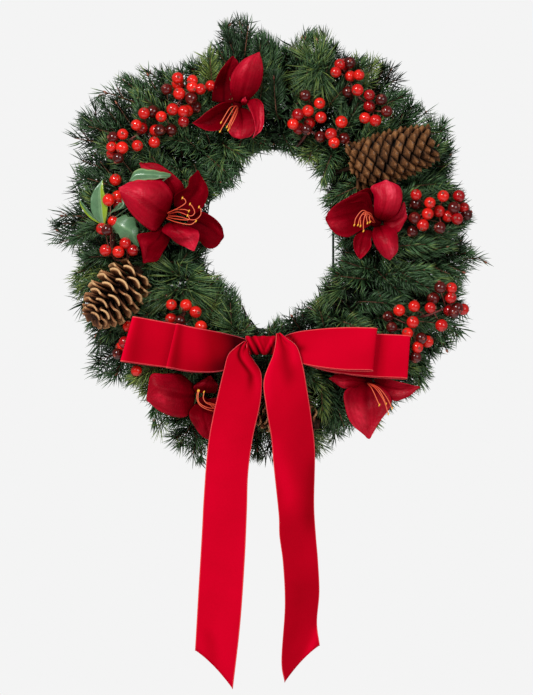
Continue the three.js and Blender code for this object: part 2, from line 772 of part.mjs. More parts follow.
function makeHolly({ anchor, hub, leaves }) {
  const middle = vector(hub);
  const end = middle.clone().addScaledVector(FORWARD, 6);
  const parts = [tube(stalkCurve(anchor, end, 20), 4, 4, () => 2)];
  for (const { half, rib: places } of leaves) {
    const [root, mid, tip] = places.map(vector);
    const handle = mid.clone().multiplyScalar(2).addScaledVector(root, -0.5).addScaledVector(tip, -0.5);
    const rib = new THREE.QuadraticBezierCurve3(root, handle, tip);
    parts.push(tube(new THREE.LineCurve3(middle, rib.getPoint(0.12)), 2, 3, () => 1.5));
    parts.push(blade((u, v) => {
      const tangent = rib.getTangent(v).normalize();
      const side = new THREE.Vector3().crossVectors(FORWARD, tangent).normalize();
      const face = new THREE.Vector3().crossVectors(tangent, side).normalize();
      const width = half * hollyWidth(v, 3);
      const lift = 0.25 * width * Math.abs(u);
      return rib.getPoint(v).addScaledVector(side, u * width).addScaledVector(face, lift);
    }, 2, 6, LEAF_THICK));
  }
  return fuse(parts);
}

// ---------------------------------------------------------------- bow

// A ribbon along a route. Each station gives the middle of its width, the width and the way across it.
function ribbon(stations, thick) {
  const surface = (u, v) => {
    const at = Math.round(v * (stations.length - 1));
    const { middle, width, across } = stations[at];
    return middle.clone().addScaledVector(across, (u * width) / 2);
  };
  return blade(surface, 1, stations.length - 1, thick);
}

function makeLoop({ far, slant, gap }) {
  const [farX, farY, farZ] = far;
  const [knotX, , knotZ] = KNOT.centre;
  const down = new THREE.Vector3(slant, 0, -RIBBON.width).normalize();
  const toward = Math.sign(farX - knotX);
  const rootX = knotX + toward * (KNOT.half[0] + SEAT_GAP);
  const layer = (share, side) => ({
    middle: new THREE.Vector3(
      lerp(rootX, farX - toward * gap, share),
      farY + side * gap * Math.min(1, 0.6 + share),
      lerp(knotZ, farZ, Math.min(1, share * 1.15)),
    ),
    width: RIBBON.width * Math.min(1, 0.3 + 1.6 * share),
    across: share > 0 ? down : new THREE.Vector3(0, 0, -1),
  });
  const shares = [0, 0.2, 0.45, 0.75, 1];
  return ribbon([
    ...shares.map((share) => layer(share, 1)),
    { middle: vector(far), width: RIBBON.width, across: down },
    ...shares.toReversed().map((share) => layer(share, -1)),
  ], RIBBON.thick);
}

function makeTail({ side, middle, widths, cut }) {
  const [knotX, knotY, knotZ] = KNOT.centre;
  const top = [knotX + side * TAIL_TOP.aside, knotY, knotZ - KNOT.half[2] - SEAT_GAP];
  const places = [top, ...middle].map(vector);
  const spans = [TAIL_TOP.width, ...widths];
  const last = places.length - 1;
  const surface = (u, v) => {
    const at = Math.round(v * last);
    const slope = at === last ? -side * u * cut : 0;
    return places[at].clone().add(new THREE.Vector3((u * spans[at]) / 2, 0, slope));
  };
  return blade(surface, 1, last, RIBBON.thick);
}

// The knot: a gathered band, fuller in the middle, pleated round its girth.
function makeKnot({ centre, half }) {
  const [hx, hy, hz] = half;
  const outline = [[0, -hx], [KNOT_END, -hx], [1, 0], [KNOT_END, hx], [0, hx]];
  const profile = outline.map(([girth, x]) => new THREE.Vector2(girth, x));
  const knot = new THREE.LatheGeometry(profile, 2 * PLEATS).rotateZ(-Math.PI / 2);
  const position = knot.attributes.position;
  for (let i = 0; i < position.count; i += 1) {
    const y = position.getY(i);
    const z = position.getZ(i);
    const pleat = 1 - 0.06 * (1 - Math.cos(PLEATS * Math.atan2(z, y)));
    position.setXYZ(i, centre[0] + position.getX(i), centre[1] + y * hy * pleat, centre[2] + z * hz * pleat);
  }
  return fuse([knot]);
}

// A florist's wire from behind the knot back to the inner ring.
function makeTieWire() {
  const [x, y, z] = KNOT.centre;
  const end = new THREE.Vector3(x, y + KNOT.half[1] + SEAT_GAP, z);
  return tube(stalkCurve([INNER_RING, 266], end, 24), 6, 4, () => 1.6);
}

// ---------------------------------------------------------------- boughs

const sectorEdge = (index, radius) => radians(90 + (360 / BOUGHS) * index) + SWIRL * (radius - OUTER_RING);
const edgeMargin = (index) => (index % BOUGHS === 0 ? HOOK_CLEAR : 0.4);

// Whether a point keeps inside a bough's sector, off its two edges by a margin in millimetres.
function inSector(index, point, margin) {
  const radius = Math.hypot(point.x, point.z);
  if (radius < 60) {
    return false;
  }
  const turn = Math.PI * 2;
  const from = sectorEdge(index, radius);
  const angle = Math.atan2(point.z, point.x);
  const along = (((angle - from) % turn) + turn) % turn;
  const span = sectorEdge(index + 1, radius) - from;
  const low = (margin + edgeMargin(index)) / radius;
  const high = (margin + edgeMargin(index + 1)) / radius;
  return along >= low && along <= span - high;
}

// Whether a straight needle keeps clear of everything round it.
function needleFits(index, base, tip, own) {
  const length = base.distanceTo(tip);
  for (let along = 4; along <= length; along += 2.5) {
    const share = along / length;
    const point = base.clone().lerp(tip, share);
    const half = 1.6 * (1 - share);
    const clash = point.y > BACK_LIMIT || point.y < FRONT_LIMIT || !inSector(index, point, half + 0.4);
    const room = 2.2 + half * 0.7;
    if (clash || frameCloud.near(point, room) || obstacles.near(point, room) || own.near(point, 2.1)) {
      return false;
    }
  }
  return true;
}

// A needled stem: a three-sided tube whose short bands are drawn out into slanting needles. A stem that
// is wired down has a flat stretch first, where one edge of the tube lies towards the frame.
function needledStem(bough, { curve, radius, bare, flat }, own, seed) {
  const length = curve.getLength();
  const bands = Math.max(1, Math.floor((length - bare) / NEEDLE.pitch));
  const marks = flat ? [0, flat] : [0];
  for (let band = 0; band < bands; band += 1) {
    const at = length - (bands - band) * NEEDLE.pitch + 5;
    marks.push(at, at + NEEDLE.band);
  }
  const fine = 80;
  const frames = framesAlong(curve, fine, BACKWARD);
  const frameAt = (distance) => frames[Math.round((distance / length) * fine)];
  const rings = marks.map((mark, k) => {
    const twist = mark <= flat ? 0 : Math.floor((k + 1) / 2) * 0.52;
    const taper = mark <= flat ? radius : radius * (1 - 0.3 * (mark / length));
    const frame = { ...frameAt(mark), point: curve.getPointAt(mark / length) };
    return ringAt(frame, taper, 3, twist);
  });
  const { positions, triangles } = skinRings(rings, curve.getPointAt(1));
  const kept = [];
  const corner = (id) => new THREE.Vector3(...positions.slice(id * 3, id * 3 + 3));
  for (let t = 0; t < triangles.length; t += 3) {
    const ids = triangles.slice(t, t + 3);
    const band = Math.floor(t / 18);
    const needled = t < (rings.length - 1) * 18 && band % 2 === (flat ? 0 : 1) && band > 0;
    if (!needled) {
      kept.push(...ids);
      continue;
    }
    const points = ids.map(corner);
    const base = points[0].clone().add(points[1]).add(points[2]).divideScalar(3);
    const frame = frameAt(marks[band] + NEEDLE.band / 2);
    const [p, q, r] = points;
    const outward = q.clone().sub(p).cross(r.clone().sub(p)).normalize();
    const swing = (t / 3) % 2 ? 0.5 : -0.5;
    const radial = outward.applyAxisAngle(frame.tangent, swing);
    const apex = drawNeedle(bough, base, radial, frame.tangent, own, seed + t);
    if (!apex) {
      kept.push(...ids);
      continue;
    }
    const id = positions.length / 3;
    positions.push(apex.x, apex.y, apex.z);
    kept.push(ids[0], ids[1], id, ids[1], ids[2], id, ids[2], ids[0], id);
  }
  return geometryOf(positions, kept);
}

// The tip of a needle, bent further along its stem and then shortened until it is clear.
function drawNeedle(bough, base, radial, tangent, own, seed) {
  for (const share of [1, 0.75, 0.5]) {
    for (const lean of [0, -0.22, -0.4, 0.2]) {
      const slant = NEEDLE.slant + lean + 0.12 * (draw(seed) - 0.5);
      const length = NEEDLE.length * share * (0.85 + 0.3 * draw(seed + 7));
      const way = tangent.clone().multiplyScalar(Math.cos(slant)).addScaledVector(radial, Math.sin(slant));
      const tip = base.clone().addScaledVector(way, length);
      if (needleFits(bough, base, tip, own)) {
        for (let along = 6; along <= length; along += 3) {
          own.add(base.clone().addScaledVector(way, along));
        }
        return tip;
      }
    }
  }
  return null;
}

// The stretch of a curve that is clear of obstacles, or null if too little of it is.
function clearStretch(bough, points, least) {
  const curve = new THREE.CatmullRomCurve3(points);
  const fine = curve.getSpacedPoints(40);
  const start = 8;
  let last = fine.length - 1;
  for (let k = start; k < fine.length; k += 1) {
    if (obstacles.near(fine[k], 3.9) || !inSector(bough, fine[k], 3)) {
      last = k - 4;
      break;
    }
  }
  if (last < start || (curve.getLength() * last) / 40 < least) {
    return null;
  }
  return new THREE.CatmullRomCurve3(fine.slice(0, last + 1).filter((_, k) => k % 4 === 0 || k === last));
}

function makeBough(index) {
  const middle = (radius) => (sectorEdge(index, radius) + sectorEdge(index + 1, radius)) / 2;
  const jog = (seed, size) => size * (draw(index * 7 + seed) - 0.5);
  const degrees = THREE.MathUtils.radToDeg(middle(280));
  const outerTip = readTips(OUTER_TIPS, degrees) - 17;
  const innerTip = readTips(INNER_TIPS, THREE.MathUtils.radToDeg(middle(110))) + 12;
  const rest = -(WIRE_FRONT + SEAT_GAP + STEM);
  const on = (radius, y, lean = 0) => polar(radius, middle(radius) + lean / radius, y);
  const routes = [
    {
      radius: STEM,
      bare: FLAT_TO - FLAT_FROM + 2,
      flat: FLAT_TO - FLAT_FROM,
      points: [
        on(FLAT_FROM, rest),
        on(158, rest),
        on(182, rest),
        on(FLAT_TO, rest),
        on(lerp(FLAT_TO, outerTip, 0.55), -28),
        on(outerTip, -46 + jog(1, 16)),
      ],
    },
    { radius: TWIG, bare: 12, points: [on(150, rest), on(130, -20), on(innerTip, -44 + jog(2, 12))] },
    { radius: TWIG, bare: 12, points: [on(150, rest), on(156, -34, jog(3, 8)), on(172, -72, jog(4, 14))] },
    { radius: TWIG, bare: 12, points: [on(196, rest), on(208, -36, jog(5, 10)), on(232, -70, jog(6, 18))] },
  ];
  const own = new Cloud();
  const stems = routes
    .map((route) => ({ flat: 0, ...route, curve: clearStretch(index, route.points, 24) }))
    .filter(({ curve }) => curve);
  stems.forEach(({ curve }) => curve.getSpacedPoints(40).slice(8).forEach((point) => own.add(point)));
  return fuse(stems.map((stem, k) => needledStem(index, stem, own, index * 97 + k * 31)));
}

// ---------------------------------------------------------------- the wreath

const wreath = new THREE.Group();
wreath.name = 'wreath';
wreath.position.z = -(OUTER_RING - WIRE);

function addPiece(name, geometry, colour, roughness = 0.6, metalness = 0) {
  const material = new THREE.MeshStandardMaterial({ color: colour, roughness, metalness });
  const mesh = new THREE.Mesh(geometry, material);
  mesh.name = name;
  wreath.add(mesh);
  return geometry;
}

function addSolid(...piece) {
  obstacles.addSurface(addPiece(...piece));
}

frameCloud.addSurface(addPiece('wire_frame', makeFrame(), COLOURS.wire, 0.45, 0.6));
for (const [name, bloom] of Object.entries(BLOOMS)) {
  addSolid(`bloom_${name}_petals`, makePetals(bloom), COLOURS.petal, 0.55);
  addSolid(`bloom_${name}_stamens`, makeStamens(bloom), COLOURS.stamen, 0.5);
  addSolid(`bloom_${name}_stalk`, makeBloomStalk(bloom), COLOURS.stalk, 0.6);
}
for (const [name, spray] of Object.entries(SPRAYS)) {
  addSolid(`berries_${name}`, makeSpray(spray), COLOURS.berry, 0.25);
}
addSolid('cone_right', makeClosedCone(CLOSED_CONE), COLOURS.cone, 0.75);
addSolid('cone_left', makeOpenCone(OPEN_CONE), COLOURS.coneLight, 0.75);
addSolid('cone_bottom', makeOpenCone(LOW_CONE), COLOURS.cone, 0.75);
addSolid('holly_sprig', makeHolly(HOLLY), COLOURS.holly, 0.3);
for (const [name, loop] of Object.entries(LOOPS)) {
  addSolid(`bow_loop_${name}`, makeLoop(loop), COLOURS.ribbon, 0.8);
}
addSolid('bow_knot', makeKnot(KNOT), COLOURS.ribbon, 0.8);
for (const [name, tail] of Object.entries(TAILS)) {
  addSolid(`bow_tail_${name}`, makeTail(tail), COLOURS.ribbon, 0.8);
}
addSolid('bow_tie_wire', makeTieWire(), COLOURS.tie, 0.5, 0.4);
for (let bough = 0; bough < BOUGHS; bough += 1) {
  const colour = bough % 3 === 1 ? COLOURS.foliageBlue : COLOURS.foliage;
  addPiece(`bough_${String(bough + 1).padStart(2, '0')}`, makeBough(bough), colour, 0.65);
}

export default wreath;
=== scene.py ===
"""A fresh evergreen wreath with red blooms, berries, pine cones, holly and a ribbon bow, hung upright.

Everything is built in millimetres from the centre of the wreath's rings, [x, y, z] with -y towards the
viewer, and is turned into the frame's metres when its mesh is made. Places that were read off the
photograph are (px, py, depth): two pixels of the picture and how far the place stands in front of the
rings' plane. Each vertex carries a tone, which its material turns into colour.
"""

import math

import bpy
import numpy as np
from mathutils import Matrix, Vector


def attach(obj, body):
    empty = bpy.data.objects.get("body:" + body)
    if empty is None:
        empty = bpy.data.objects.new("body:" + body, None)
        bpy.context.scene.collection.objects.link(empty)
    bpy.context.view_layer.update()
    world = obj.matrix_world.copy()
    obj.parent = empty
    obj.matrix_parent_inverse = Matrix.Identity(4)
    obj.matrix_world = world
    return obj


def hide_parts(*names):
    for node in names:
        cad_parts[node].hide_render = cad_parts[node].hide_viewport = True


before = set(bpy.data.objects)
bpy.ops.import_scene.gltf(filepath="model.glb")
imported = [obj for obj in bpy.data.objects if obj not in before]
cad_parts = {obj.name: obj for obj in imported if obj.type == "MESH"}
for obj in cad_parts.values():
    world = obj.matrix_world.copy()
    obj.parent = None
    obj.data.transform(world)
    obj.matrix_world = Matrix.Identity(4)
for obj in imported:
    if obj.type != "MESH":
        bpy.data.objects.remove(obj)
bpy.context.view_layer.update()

# ---------------------------------------------------------------- driving values

PICTURE = (533, 695)  # the photograph's frame in pixels
PIXEL = 1.34  # millimetres to a pixel in the rings' plane
RING_PIXEL = (269, 239)  # the rings' centre in the photograph
CAMERA_AWAY = 3600  # from the camera to the rings' plane
CAMERA_X = -3.35  # where the camera looks, from the rings' centre
CAMERA_Z = -145.4
SENSOR = 36.0
METRE = 1000

OUTER_RING = 200
INNER_RING = 122
WIRE = 2
TIES = 4
STAY_X = 86
STAY_RADIUS = 1.5
RING_DROP = OUTER_RING - WIRE  # the rings' centre hangs this far below the hook
SEAT = 2.3  # how far in front of the rings' plane something wired on begins

BOUGHS = 24
HALF_SECTOR = 180 / BOUGHS  # of a bough, in degrees
SWIRL = math.radians(5) / 100  # lean of the boughs for each millimetre of radius

BERRY = 7.8
RIBBON_WIDTH = 60
RIBBON_THICK = 0.9
RIBBON_EDGE = 1.2  # width of the wired edge
PETAL_THICK = 0.8

COVERED = 30  # what lies less far in front of the rings than this may be covered by needles
FULL_TURN = 2 * math.pi
GOLDEN_TURN = 2.39996  # radians from one needle or scale to the next in a spiral

RANDOM = np.random.default_rng(24)

# The outline of the foliage as (degrees from +X, radius): its tips and the dips between them, and the
# edge of the hole.
OUTLINE = [
    (0, 264), (6, 277), (12, 272), (18, 259), (25, 275), (34, 290), (44, 271), (54, 291), (61, 283),
    (67, 270), (75, 292), (80, 288), (86, 262), (91, 279), (96.5, 306), (102.4, 299), (108, 266),
    (114, 265), (120, 268), (127.5, 291), (139, 308), (145, 303), (152, 312), (158, 281), (165, 277),
    (175, 293), (181, 300), (186, 252), (192, 278), (199, 280), (205, 276), (211, 281), (217, 307),
    (222, 291), (228, 268), (234, 277), (240, 313), (246, 309), (252, 322), (261, 308), (270, 299),
    (283, 305), (289, 286), (294, 283), (300, 295), (306, 283), (312, 286), (318, 292), (324, 275),
    (330, 287), (336, 298), (343, 277), (349, 265), (354, 299),
]
HOLE_EDGE = [
    (0, 84), (12, 78), (24, 80), (36, 81), (44, 86), (49, 98), (60, 101), (72, 109), (84, 111), (91, 112),
    (97, 111), (103, 104), (108, 94), (114, 84), (122, 79), (132, 80), (144, 84), (156, 96), (163, 70),
    (185, 66), (198, 84), (204, 80), (210, 87), (216, 77), (228, 76), (236, 75), (246, 81), (252, 94),
    (257, 104), (261, 119), (265, 120), (269, 110), (276, 98), (282, 101), (290, 93), (300, 92),
    (306, 98), (316, 88), (324, 83), (332, 86), (340, 90), (354, 84),
]


# ---------------------------------------------------------------- small helpers

def place(px, py, depth=0.0):
    """The point that the photograph shows at a pixel, this far in front of the rings' plane."""
    scale = PIXEL * (1 - depth / CAMERA_AWAY)
    x = CAMERA_X + (px - PICTURE[0] / 2) * scale
    z = CAMERA_Z + (PICTURE[1] / 2 - py) * scale
    return np.array([x, -depth, z])


def places(points):
    return np.array([place(*point) for point in points])


def pixel_of(points):
    """The pixel that each point is seen at, and its depth."""
    depth = -points[..., 1]
    scale = PIXEL * (1 - depth / CAMERA_AWAY)
    px = (points[..., 0] - CAMERA_X) / scale + PICTURE[0] / 2
    py = PICTURE[1] / 2 - (points[..., 2] - CAMERA_Z) / scale
    return px, py, depth


def polar(radius, degrees, y=0.0):
    turn = math.radians(degrees)
    return np.array([radius * math.cos(turn), y, radius * math.sin(turn)])


def turns(count):
    """Angles at even steps once round."""
    return np.arange(count) / count * FULL_TURN


def heading(turn, side, other):
    """The direction at an angle, from two directions that are square to each other."""
    return math.cos(turn) * side + math.sin(turn) * other


def unit(vectors):
    length = np.linalg.norm(vectors, axis=-1, keepdims=True)
    return vectors / np.maximum(length, 1e-9)


def length_of(path):
    return np.linalg.norm(np.diff(path, axis=0), axis=1).sum()


def hump(offset, width):
    """One at the middle, and falling off smoothly to both sides."""
    return np.exp(-((offset / width) ** 2))


def read_round(pairs, degrees):
    """A radius at an angle, read off pairs of (degrees, radius) that go once round."""
    at, values = zip(*pairs)
    return np.interp(np.mod(degrees, 360), at, values, period=360)


def spline(points, count):
    """A smooth curve through the points, at this many places."""
    points = np.asarray(points, float)
    if len(points) == 2:
        share = np.linspace(0, 1, count)[:, None]
        return points[0] * (1 - share) + points[1] * share
    ends = [2 * points[0] - points[1], *points, 2 * points[-1] - points[-2]]
    padded = np.array(ends)
    at = np.linspace(0, len(points) - 1, count)
    index = np.minimum(at.astype(int), len(points) - 2)
    t = (at - index).reshape((-1,) + (1,) * (points.ndim - 1))
    p0, p1, p2, p3 = (padded[index + k] for k in range(4))
    curve = 2 * p1 + (p2 - p0) * t + (2 * p0 - 5 * p1 + 4 * p2 - p3) * t**2
    return 0.5 * (curve + (3 * p1 - p0 - 3 * p2 + p3) * t**3)


def wired_route(foot, ahead, behind, end, count):
    """A route that leaves its foot on the frame straight ahead and comes to its end from behind."""
    return spline([foot, foot - [0, ahead, 0], end + [0, behind, 0], end], count)


def frames_along(path):
    """Unit tangents of a path, with two directions square to them that don't turn about it."""
    tangents = unit(np.gradient(path, axis=0))
    start = np.array([0.0, 1.0, 0.0])
    if abs(tangents[0] @ start) > 0.9:
        start = np.array([1.0, 0.0, 0.0])
    side = np.empty_like(path)
    for i, tangent in enumerate(tangents):
        start = start - tangent * (start @ tangent)
        start = start / np.linalg.norm(start)
        side[i] = start
    return tangents, side, np.cross(tangents, side)


def circles(turn, side, other):
    """Round each place: the directions at these angles, from two directions square to each other."""
    return np.cos(turn)[None, :, None] * side[:, None] + np.sin(turn)[None, :, None] * other[:, None]


def stations_of(outline):
    """The points of the one edge, the rib and the other edge at each station of a petal or leaf."""
    *stations, tip = outline
    return np.array([places(np.reshape(station, (3, 3))) for station in (*stations, tip * 3)])


# ---------------------------------------------------------------- meshes

class Shape:
    """Vertices and faces that are gathered up into one mesh, with a tone for each vertex."""

    def __init__(self):
        self.points = []
        self.triangles = []
        self.materials = []
        self.tones = []
        self.count = 0

    def add(self, points, triangles, tone, material=0):
        points = np.asarray(points, float).reshape(-1, 3)
        triangles = np.asarray(triangles, int).reshape(-1, 3)
        self.points.append(points)
        self.triangles.append(triangles + self.count)
        self.materials.append(np.broadcast_to(material, len(triangles)))
        self.tones.append(np.broadcast_to(tone, len(points)))
        self.count += len(points)

    def arrays(self):
        return np.concatenate(self.points), np.concatenate(self.triangles)

    def build(self, node, materials, slot, name=None):
        """The object that stands for a CAD node, called after it unless another name is given."""
        name = name or f"{node}_dressed"
        points, triangles = self.arrays()
        metres = (points - [0, 0, RING_DROP]) / METRE
        mesh = bpy.data.meshes.new(name)
        mesh.vertices.add(len(metres))
        mesh.vertices.foreach_set("co", metres.astype(np.float32).ravel())
        mesh.loops.add(3 * len(triangles))
        mesh.loops.foreach_set("vertex_index", triangles.astype(np.int32).ravel())
        mesh.polygons.add(len(triangles))
        mesh.polygons.foreach_set("loop_start", np.arange(0, 3 * len(triangles), 3, dtype=np.int32))
        mesh.polygons.foreach_set("material_index", np.concatenate(self.materials).astype(np.int32))
        mesh.polygons.foreach_set("use_smooth", np.ones(len(triangles), bool))
        for material in materials:
            mesh.materials.append(material)
        tone = mesh.attributes.new("tone", "FLOAT", "POINT")
        tone.data.foreach_set("value", np.concatenate(self.tones).astype(np.float32))
        mesh.update(calc_edges=True)
        mesh.validate()
        piece = bpy.data.objects.new(name, mesh)
        bpy.context.scene.collection.objects.link(piece)
        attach(piece, "root")
        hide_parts(node)
        return piece


def closed_faces(rings, sides):
    """Triangles of a tube of rings, closed at its start on one further point and at its end on another."""
    step = np.arange(sides)
    after = (step + 1) % sides
    faces = []
    for low in range(0, (rings - 1) * sides, sides):
        high = low + sides
        faces.append(np.stack([low + step, low + after, high + after], 1))
        faces.append(np.stack([low + step, high + after, high + step], 1))
    count = rings * sides
    last = count - sides
    faces.append(np.stack([after, step, np.full(sides, count)], 1))
    faces.append(np.stack([last + step, last + after, np.full(sides, count + 1)], 1))
    return np.concatenate(faces)


def tube(shape, path, radii, sides=6, tone=0.5, material=0):
    """A tube along a path, closed by a cap at each end."""
    path = np.asarray(path, float)
    radii = np.broadcast_to(radii, len(path))
    _, side, other = frames_along(path)
    points = path[:, None] + circles(turns(sides), side, other) * radii[:, None, None]
    if np.ndim(tone):
        tone = np.concatenate([np.repeat(tone, sides), [tone[0], tone[-1]]])
    points = np.concatenate([points.reshape(-1, 3), path[:1], path[-1:]])
    shape.add(points, closed_faces(len(path), sides), tone, material)


def sheet_of(shape, grid, thick, tone, edged=False):
    """A thin closed sheet over a grid of points. An edged one has its second material down both sides."""
    rows, cols = grid.shape[:2]
    normals = unit(np.cross(np.gradient(grid, axis=1), np.gradient(grid, axis=0)))
    offset = normals * thick / 2
    index = np.arange(rows * cols).reshape(rows, cols)
    a, b = index[:-1, :-1].ravel(), index[:-1, 1:].ravel()
    c, d = index[1:, 1:].ravel(), index[1:, :-1].ravel()
    quads = np.concatenate([np.stack([a, b, c], 1), np.stack([a, c, d], 1)])
    column = np.tile(np.arange(cols - 1), 2 * (rows - 1))
    paint = ((column == 0) | (column == cols - 2)) & edged
    loop = np.concatenate([index[0, :-1], index[:-1, -1], index[-1, :0:-1], index[:0:-1, 0]])
    following = np.roll(loop, -1)
    behind = rows * cols
    rim = np.concatenate([
        np.stack([following, loop, loop + behind], 1),
        np.stack([following, loop + behind, following + behind], 1),
    ])
    faces = np.concatenate([quads, quads[:, ::-1] + behind, rim])
    points = np.concatenate([(grid + offset).reshape(-1, 3), (grid - offset).reshape(-1, 3)])
    materials = np.concatenate([paint, paint, np.full(len(rim), edged)]).astype(int)
    shape.add(points, faces, np.tile(np.ravel(tone), 2), materials)


def ball(shape, centre, radius, toward, tone, squash):
    """A ball whose poles lie along a direction, squashed by a factor along it."""
    rings, sides = 9, 14
    axis = unit(np.asarray(toward, float))
    side = unit(np.cross(axis, [0.3, 0.2, 1.0]))
    other = np.cross(axis, side)
    lift = np.linspace(0, math.pi, rings)[1:-1]
    turn = turns(sides)
    out = np.cos(turn)[:, None] * side + np.sin(turn)[:, None] * other
    points = [centre + radius * (math.cos(a) * squash * axis + math.sin(a) * out) for a in lift]
    poles = [centre + radius * squash * axis, centre - radius * squash * axis]
    shape.add(np.concatenate([*points, poles]), closed_faces(len(lift), sides)[:, ::-1], tone)


# ---------------------------------------------------------------- what stands in front of the foliage

class Shield:
    """For each pixel, the depth of the front-most thing that the foliage must not cover."""

    EMPTY = -1e6  # the depth where there is no such thing
    SPOTS = 4  # places marked along a triangle's side

    def __init__(self):
        self.depth = np.full((PICTURE[1], PICTURE[0]), self.EMPTY)

    def cover(self, shape):
        points, triangles = shape.arrays()
        corners = points[triangles]
        spots = self.SPOTS
        shares = [(i / spots, j / spots) for i in range(spots + 1) for j in range(spots + 1 - i)]
        for u, v in shares:
            spot = corners[:, 0] * (1 - u - v) + corners[:, 1] * u + corners[:, 2] * v
            px, py, depth = pixel_of(spot)
            column, row = px.astype(int), py.astype(int)
            inside = (column >= 0) & (column < PICTURE[0]) & (row >= 0) & (row < PICTURE[1])
            inside &= depth > COVERED
            np.maximum.at(self.depth, (row[inside], column[inside]), depth[inside])

    def hides(self, points, room):
        """Whether each point would stand in front of what it must not cover."""
        px, py, depth = pixel_of(points)
        column = np.clip(px.astype(int), 0, PICTURE[0] - 1)
        row = np.clip(py.astype(int), 0, PICTURE[1] - 1)
        front = self.depth[row, column]
        return (front > self.EMPTY) & (depth > front - room)


shield = Shield()


# ---------------------------------------------------------------- materials

def linear(red, green, blue):
    """The linear colour of an sRGB one given from 0 to 255."""
    shares = [value / 255 for value in (red, green, blue)]
    return (*(s / 12.92 if s <= 0.04045 else ((s + 0.055) / 1.055) ** 2.4 for s in shares), 1.0)


def ramp(nodes, stops):
    node = nodes.new("ShaderNodeValToRGB")
    elements = node.color_ramp.elements
    while len(elements) < len(stops):
        elements.new(0.5)
    for element, (position, colour) in zip(elements, stops):
        element.position = position
        element.color = linear(*colour)
    return node


def noise(nodes, links, scale):
    """Noise in the piece's own space, at this many patches to the metre."""
    where = nodes.new("ShaderNodeTexCoord")
    node = nodes.new("ShaderNodeTexNoise")
    node.inputs["Scale"].default_value = scale
    node.inputs["Detail"].default_value = 3.0
    node.inputs["Roughness"].default_value = 0.55
    links.new(where.outputs["Object"], node.inputs["Vector"])
    return node


def mesh_tone(nodes):
    node = nodes.new("ShaderNodeAttribute")
    node.attribute_name = "tone"
    return node.outputs["Fac"]


def tone_plus_noise(nodes, links, texture, amount):
    """The mesh's own tone, moved up and down by a texture."""
    swing = nodes.new("ShaderNodeMath")
    swing.operation = "MULTIPLY_ADD"
    swing.inputs[1].default_value = amount
    links.new(texture.outputs[0], swing.inputs[0])
    lowered = nodes.new("ShaderNodeMath")
    lowered.operation = "SUBTRACT"
    lowered.inputs[1].default_value = amount / 2
    links.new(mesh_tone(nodes), lowered.inputs[0])
    links.new(lowered.outputs[0], swing.inputs[2])
    return swing.outputs[0]


def spread(nodes, links, source, low, high, start=0.0):
    """A value from start to one, spread over the range from low to high."""
    node = nodes.new("ShaderNodeMapRange")
    node.inputs["From Min"].default_value = start
    node.inputs["To Min"].default_value = low
    node.inputs["To Max"].default_value = high
    links.new(source, node.inputs["Value"])
    return node.outputs[0]


def bump(nodes, links, shader, scale, strength, distance):
    node = nodes.new("ShaderNodeBump")
    node.inputs["Strength"].default_value = strength
    node.inputs["Distance"].default_value = distance
    links.new(noise(nodes, links, scale).outputs[0], node.inputs["Height"])
    links.new(node.outputs[0], shader.inputs["Normal"])


def toned_material(name, stops, scale, amount, rough, grain=None, sockets=()):
    """A material whose colour follows the mesh's tone and a noise, with uneven gloss and a fine bump.

    The noise has `scale` patches to the metre and moves the tone by `amount`; `rough` is the range of the
    roughness, `grain` the bump's scale, strength and distance, and `sockets` what is the same all over.
    """
    material = bpy.data.materials.new(name)
    material.use_nodes = True
    nodes, links = material.node_tree.nodes, material.node_tree.links
    shader = nodes["Principled BSDF"]
    texture = noise(nodes, links, scale)
    colours = ramp(nodes, stops)
    links.new(tone_plus_noise(nodes, links, texture, amount), colours.inputs[0])
    links.new(colours.outputs[0], shader.inputs["Base Color"])
    links.new(spread(nodes, links, texture.outputs[0], *rough), shader.inputs["Roughness"])
    if grain:
        bump(nodes, links, shader, *grain)
    for socket, value in sockets:
        shader.inputs[socket].default_value = value
    return material


def needle_material():
    stops = [(0.0, (14, 26, 14)), (0.3, (40, 66, 38)), (0.65, (76, 112, 70)), (1.0, (136, 154, 70))]
    gloss = [("Specular IOR Level", 0.6)]
    return toned_material("needle", stops, 90, 0.3, (0.26, 0.5), sockets=gloss)


def bark_material():
    stops = [(0.0, (60, 36, 22)), (0.5, (104, 62, 42)), (1.0, (150, 92, 66))]
    return toned_material("bark", stops, 260, 0.8, (0.6, 0.85), (900, 0.5, 0.0004))


def bud_material():
    stops = [(0.0, (92, 44, 32)), (0.5, (140, 74, 56)), (1.0, (186, 120, 96))]
    return toned_material("bud", stops, 500, 0.8, (0.5, 0.8), (1400, 0.4, 0.0003))


def petal_material():
    """Deep red petals: nearly black in the throat, with a soft gloss on their ridges."""
    stops = [
        (0.0, (46, 0, 4)), (0.3, (106, 0, 12)), (0.55, (150, 0, 24)), (0.8, (190, 10, 42)),
        (1.0, (222, 58, 80)),
    ]
    material = toned_material("petal", stops, 60, 0.34, (0.32, 0.5), (380, 0.5, 0.0016))
    nodes, links = material.node_tree.nodes, material.node_tree.links
    gloss = spread(nodes, links, mesh_tone(nodes), 0.005, 0.24, 0.3)
    links.new(gloss, nodes["Principled BSDF"].inputs["Specular IOR Level"])
    return material


def ribbon_material():
    """Short-piled velvet: a fine pile, soft uneven patches and a faint red sheen. The light and shade on
    its folds is painted into the mesh's tone.
    """
    stops = [(0.0, (50, 0, 4)), (0.3, (138, 0, 14)), (0.65, (186, 0, 28)), (1.0, (228, 0, 44))]
    pile = [
        ("Sheen Weight", 0.12), ("Sheen Roughness", 0.3), ("Sheen Tint", linear(255, 20, 50)),
        ("Specular IOR Level", 0.02),
    ]
    return toned_material("ribbon_velvet", stops, 22, 0.16, (0.85, 1.0), (2600, 0.4, 0.0004), pile)


